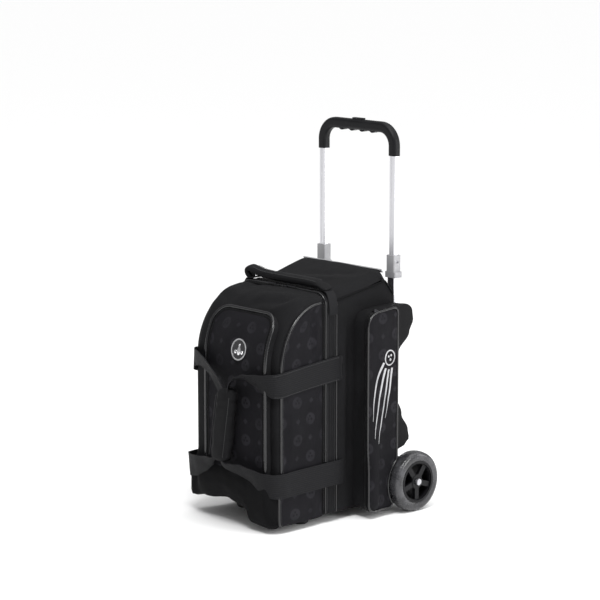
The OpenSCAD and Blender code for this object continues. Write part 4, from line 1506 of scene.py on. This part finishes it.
def web_handle(side, route):
    name = side_name(side)
    way = smooth_route(route)
    us = [-1, -0.94, -0.8, -0.6, -0.4, -0.2, 0, 0.2, 0.4, 0.6, 0.8, 0.94, 1]

    def point(u, i):
        p, d, half = way[i]
        return p + d * (u * half)

    def relief(p, u, i):
        free = ease(-140, -180, p.y) if p.y > -180 else 1.0
        return crumple(p, 38, 0.9, 3.3 + side) * free + 0.25 * crumple(p, 90, 1.0, 1.2)

    strap = sheet_mesh(f"webbing_{name}", us, range(len(way)), point, 1.9, WEBBING, relief, flip=side < 0)
    on_bag(strap, f"web_handle_{name}", slot="webbing")
    parts = []
    for middle_z in (route[0][0][2], route[-1][0][2]):
        x0, x1 = side * (STRAP_END_X + 2.6), side * (STRAP_END_X + 1.2)
        y0, y1, z0, z1 = -5.0, 0.0, middle_z - 21, middle_z + 21
        corners = [(x0, y0, z0), (x1, y1, z0), (x1, y1, z1), (x0, y0, z1), (x0, y0, z0)]
        parts += stitch_row(Line(corners), lambda p: (side, 0, 0))
    for sign in (-1, 1):
        rail = Line([p + d * (sign * (half - 2.6)) for p, d, half in way if abs(p.x) > 120 and p.y < -10])
        upper = [q for q in rail.points if q.z > 200]
        lower = [q for q in rail.points if q.z <= 200]
        for run in (upper, lower):
            if len(run) > 2:
                shifted = Line([q + Vector((side * 0.8, 0, 0)) for q in run])
                parts += stitch_row(shifted, lambda p: (side, 0, 0), 4.6, 3.0)
    sew(f"webbing_stitches_{name}", parts)


def closed_loft(name, rings, material, uv_step=(3.0, 3.0)):
    """A closed solid through rings of points, with its ends closed."""
    n, sides = len(rings), len(rings[0])
    verts, uv = [], []
    for i, ring in enumerate(rings):
        for k, p in enumerate(ring):
            verts.append(p)
            uv.append((uv_step[0] * k, uv_step[1] * i))
    faces = ring_faces(n, sides)
    for i, order in ((0, -1), (n - 1, 1)):
        middle = sum((Vector(p) for p in rings[i]), Vector()) / sides
        verts.append(middle)
        uv.append((0, uv_step[1] * i))
        centre = len(verts) - 1
        for k in range(sides):
            m = (k + 1) % sides
            tri = (i * sides + k, i * sides + m, centre)
            faces.append(tri if order > 0 else tri[::-1])
    return make_object(name, verts, faces, material, uv)


def cushion_sim(obj, pressure, cap, voxel=4.0):
    """Blows a padded form up as cloth, so that its skin pulls into soft folds between its seams."""
    work = add_object(obj.name + "_work", obj.data.copy())
    bpy.context.view_layer.objects.active = work
    remesh = work.modifiers.new("remesh", "REMESH")
    remesh.mode = "VOXEL"
    remesh.voxel_size = voxel * MM
    graph = bpy.context.evaluated_depsgraph_get()
    solid = bpy.data.meshes.new_from_object(work.evaluated_get(graph))
    work.modifiers.clear()
    work.data = solid
    before = [v.co.copy() for v in solid.vertices]
    cloth = work.modifiers.new("cloth", "CLOTH")
    cloth.settings.use_pressure = True
    cloth.settings.uniform_pressure_force = pressure
    cloth.settings.effector_weights.gravity = 0
    cloth.settings.quality = 4
    cloth.settings.bending_stiffness = 0.3
    scene = bpy.context.scene
    for step in range(1, 21):
        scene.frame_set(step)
    graph = bpy.context.evaluated_depsgraph_get()
    swollen = [v.co.copy() for v in work.evaluated_get(graph).data.vertices]
    work.modifiers.clear()
    scene.frame_set(1)
    for vertex, old, new in zip(solid.vertices, before, swollen):
        move = new - old
        vertex.co = old + (move if move.length < cap * MM else move.normalized() * cap * MM)
    subdivide = work.modifiers.new("smooth", "SUBSURF")
    subdivide.levels = subdivide.render_levels = 1
    graph = bpy.context.evaluated_depsgraph_get()
    final = bpy.data.meshes.new_from_object(work.evaluated_get(graph))
    final.materials.clear()
    final.materials.append(obj.data.materials[0])
    final.shade_smooth()
    obj.data = final
    bpy.data.objects.remove(work)


def handle_wrap():
    """Padded cuff round both straps, creased across near its top."""
    low, high = WRAP_LO.z - 8, WRAP_HI.z - 3
    half_w = (WRAP_HI.x - WRAP_LO.x) / 2 - 1
    half_d = (WRAP_HI.y - WRAP_LO.y) / 2 - 1.5
    rings = []
    count, sides = 44, 48
    for i in range(count + 1):
        t = i / count
        end = min(t, 1 - t) * (high - low)
        close = 1 - 0.34 * (1 - ease(0, 11, end)) ** 2
        z = mix(low, high, t)
        x0 = WRAP_MIDDLE_X + WRAP_TILT * (t - 0.5)
        ring = []
        for k in range(sides):
            a = TURN * k / sides
            c, s = math.cos(a), math.sin(a)
            x = half_w * math.copysign(abs(c) ** 0.62, c) * (0.93 + 0.07 * math.sin(math.pi * t))
            y = half_d * math.copysign(abs(s) ** 0.62, s)
            p = Vector((x0 + x * close, WRAP_Y + y * close, z + 2.5 * (x / half_w) * (t - 0.2)))
            crease = 0.0
            for level, depth in ((high - 17, 2.2), (high - 33, 1.5), (high - 58, 0.9), (low + 40, 0.9),
                                 (low + 16, 1.4)):
                crease += depth * bump(level + 0.16 * x + 2 * cloud(p, 20, 2.0), 4.2, z)
            out = Vector((c, s, 0)).normalized()
            ring.append(p + out * (crumple(p, 24, 0.9, 5.0) - crease))
        rings.append(ring)
    wrap = closed_loft("handle_wrap_pad", rings, PADDED_FABRIC, (3.2, 3.4))
    cushion_sim(wrap, 3.0, 3.0, 3.5)
    on_bag(wrap, "handle_wrap", slot="tape_fabric")
    parts = []
    for edge in (-1, 1):
        rail = [Vector((WRAP_MIDDLE_X + WRAP_TILT * (t - 0.5) + edge * (half_w - 7), WRAP_Y - half_d - 1.2,
                        mix(low + 12, high - 12, t))) for t in [i / 20 for i in range(21)]]
        parts += stitch_row(Line(rail), lambda p: (0, -1, 0), 4.4, 3.0)
    sew("handle_wrap_stitches", parts)


GRAB_Y = (GRAB_LO.y + GRAB_HI.y) / 2
GRAB_LINE = [(-114, 474), (-121, 482), (-122, 491), (-112, 494), (-96, 489.5), (-72, 485.5), (-30, 484.5),
             (20, 484.5), (66, 484.5), (98, 481.5), (117, 476)]


def grab_handle():
    """Padded band over the zip, its left end lifted and folded."""
    line = curve_through([(x, GRAB_Y, z) for x, z in GRAB_LINE], 3.0)
    half_w = (GRAB_HI.y - GRAB_LO.y) / 2 - 1
    rings = []
    pts = line.spaced(3.5)
    sides = 32
    for i, p in enumerate(pts):
        s = line.length * i / (len(pts) - 1)
        t = line.tangent(s, 4)
        out = Vector((-t.z, 0, t.x))
        end = min(s, line.length - s)
        thick = mix(6.0 if s < 60 else 3.4, 6.6, ease(8, 46, end))
        width = half_w * mix(0.92, 1.0, ease(0, 20, end))
        ring = []
        for k in range(sides):
            a = TURN * k / sides
            c, n = math.cos(a), math.sin(a)
            y = width * math.copysign(abs(c) ** 0.55, c)
            h = (thick if n > 0 else 0.8 * thick) * math.copysign(abs(n) ** 0.6, n) + 0.16 * y
            q = p + Vector((0, y, 0)) + out * h
            crease = 1.4 * bump(34, 5, s) + 1.2 * bump(line.length - 34, 5, s)
            ring.append(q + out * ((crumple(q, 30, 0.7, 7.7) - crease) * (1 if n > 0 else -1)))
        rings.append(ring)
    pad = closed_loft("grab_handle_pad", rings, PADDED_FABRIC, (2.2, 3.5))
    cushion_sim(pad, 2.5, 2.0, 3.0)
    on_bag(pad, "grab_handle", slot="tape_fabric", body="grab")
    parts = []
    for edge in (-1, 1):
        rail = [line.point(s) + Vector((-line.tangent(s).z, 0, line.tangent(s).x)) * (7.4 + 0.9 * edge)
                + Vector((0, edge * (half_w - 4.5), 0)) for s in steps(40, line.length - 30, 4)]
        parts += stitch_row(Line(rail), lambda p: (0, 0, 1), 4.2, 2.8)
    sew("grab_handle_stitches", parts, body="grab")


def grab_tabs():
    """Webbing tabs that come up from the sides and hold the grab handle's ends."""
    for side in (-1, 1):
        name = side_name(side)
        pts = [(side * (HALF_W + 4.4), GRAB_Y, TOP - 42), (side * (HALF_W + 4.6), GRAB_Y, TOP - 26),
               (side * (HALF_W + 1.5), GRAB_Y, TOP - 9), (side * (HALF_W - 6), GRAB_Y, TOP + 2.5),
               (side * (HALF_W - 16), GRAB_Y, TOP + 5.4), (side * (HALF_W - 26), GRAB_Y, TOP + 5.6)]
        line = curve_through(pts, 3.0)
        us = steps(-11, 11, 2.2)
        vs = steps(0, line.length, 3)
        tab = sheet_mesh(f"grab_tab_{name}", us, vs, lambda u, s: line.point(s) + Vector((0, u, 0)), 1.6,
                         WEBBING, lambda p, u, s: crumple(p, 16, 0.3, 3.0), flip=side > 0)
        if side < 0:
            on_bag(tab, "grab_handle_anchors", slot="webbing")
        else:
            on_bag(tab, slot="webbing")


web_handle(1, RIGHT_WEB)
web_handle(-1, LEFT_WEB)
handle_wrap()
grab_handle()
grab_tabs()


# ---- wheels and the ball seat ---------------------------------------------------------

def tyre(side):
    name = side_name(side)
    width = TYRE_HI.x - TYRE_LO.x
    outer = (TYRE_HI.z - TYRE_LO.z) / 2
    inner = outer - 18.4
    profile = [(inner, 2.0), (inner + 3, 1.2), (outer - 10, 0.8), (outer - 5, 2.0)]
    profile += [(outer - 4.4 + 4.4 * math.sin(math.radians(a)), width / 2 - (width / 2 - 3.0) * math.cos(
        math.radians(a))) for a in range(20, 161, 10)]
    profile += [(outer - 5, width - 2.0), (outer - 10, width - 0.8), (inner + 3, width - 1.2),
                (inner, width - 2.0)]

    def grooves(a, r, x):
        if r < outer - 3.5:
            return 0.0
        across_tread = bump(width * 0.33, 0.8, x) + bump(width * 0.67, 0.8, x)
        return -0.9 * across_tread - 0.5 * max(0.0, math.sin(60 * a)) ** 6

    obj = lathe(f"tyre_{name}_body", profile, (side * TYRE_LO.x, WHEEL_Y, WHEEL_Z), side, TYRE, 240, grooves)
    on_bag(obj, f"tyre_{name}", slot="tyre", body=f"wheel_{name}")


HUB_BORE_R, HUB_WEB_R = 13, 40.5


def hub_web(side):
    """Thin closed web between the spokes, at the hub's inner face."""
    name = side_name(side)
    lo, hi = span("hub_right")
    x0 = mix(lo.x, hi.x, 0.28)
    profile = [(HUB_BORE_R, 0), (HUB_WEB_R, 0), (HUB_WEB_R, 1.2), (HUB_BORE_R, 1.2)]
    web = lathe(f"hub_web_{name}", profile, (side * x0, WHEEL_Y, WHEEL_Z), side, BLACK_PLASTIC, 72)
    on_bag(web, slot="black_plastic", body=f"wheel_{name}")


def ball_seat():
    """Round foam seat with a dished top."""
    cx, cy = (CUP_LO.x + CUP_HI.x) / 2, (CUP_LO.y + CUP_HI.y) / 2
    outer, low, high = (CUP_HI.x - CUP_LO.x) / 2, CUP_LO.z, CUP_HI.z
    ball_r = 108
    middle = low + 6 + ball_r
    profile = [(30, low), (outer - 4, low), (outer, low + 4), (outer, high - 5), (outer - 2, high - 1.5),
               (outer - 6, high), (outer - 16, high - 0.3)]
    for r in (74, 66, 58, 50, 42, 34, 30):
        profile.append((r, middle - math.sqrt(ball_r ** 2 - r ** 2)))
    verts, uv = [], []
    segments = 72
    for i in range(segments):
        a = TURN * i / segments
        for k, (r, z) in enumerate(profile):
            p = Vector((cx + r * math.cos(a), cy + r * math.sin(a), z))
            verts.append(p + Vector((0, 0, crumple(p, 22, 0.4, 1.0) if k > 3 else 0)))
            uv.append((r * a, z))
    seat = make_object("ball_seat", verts, ring_faces(segments, len(profile), True, flip=True), FOAM, uv)
    on_bag(seat, "ball_cup", slot="foam")


for direction in SIDES.values():
    tyre(direction)
    hub_web(direction)
ball_seat()

bpy.context.view_layer.update()
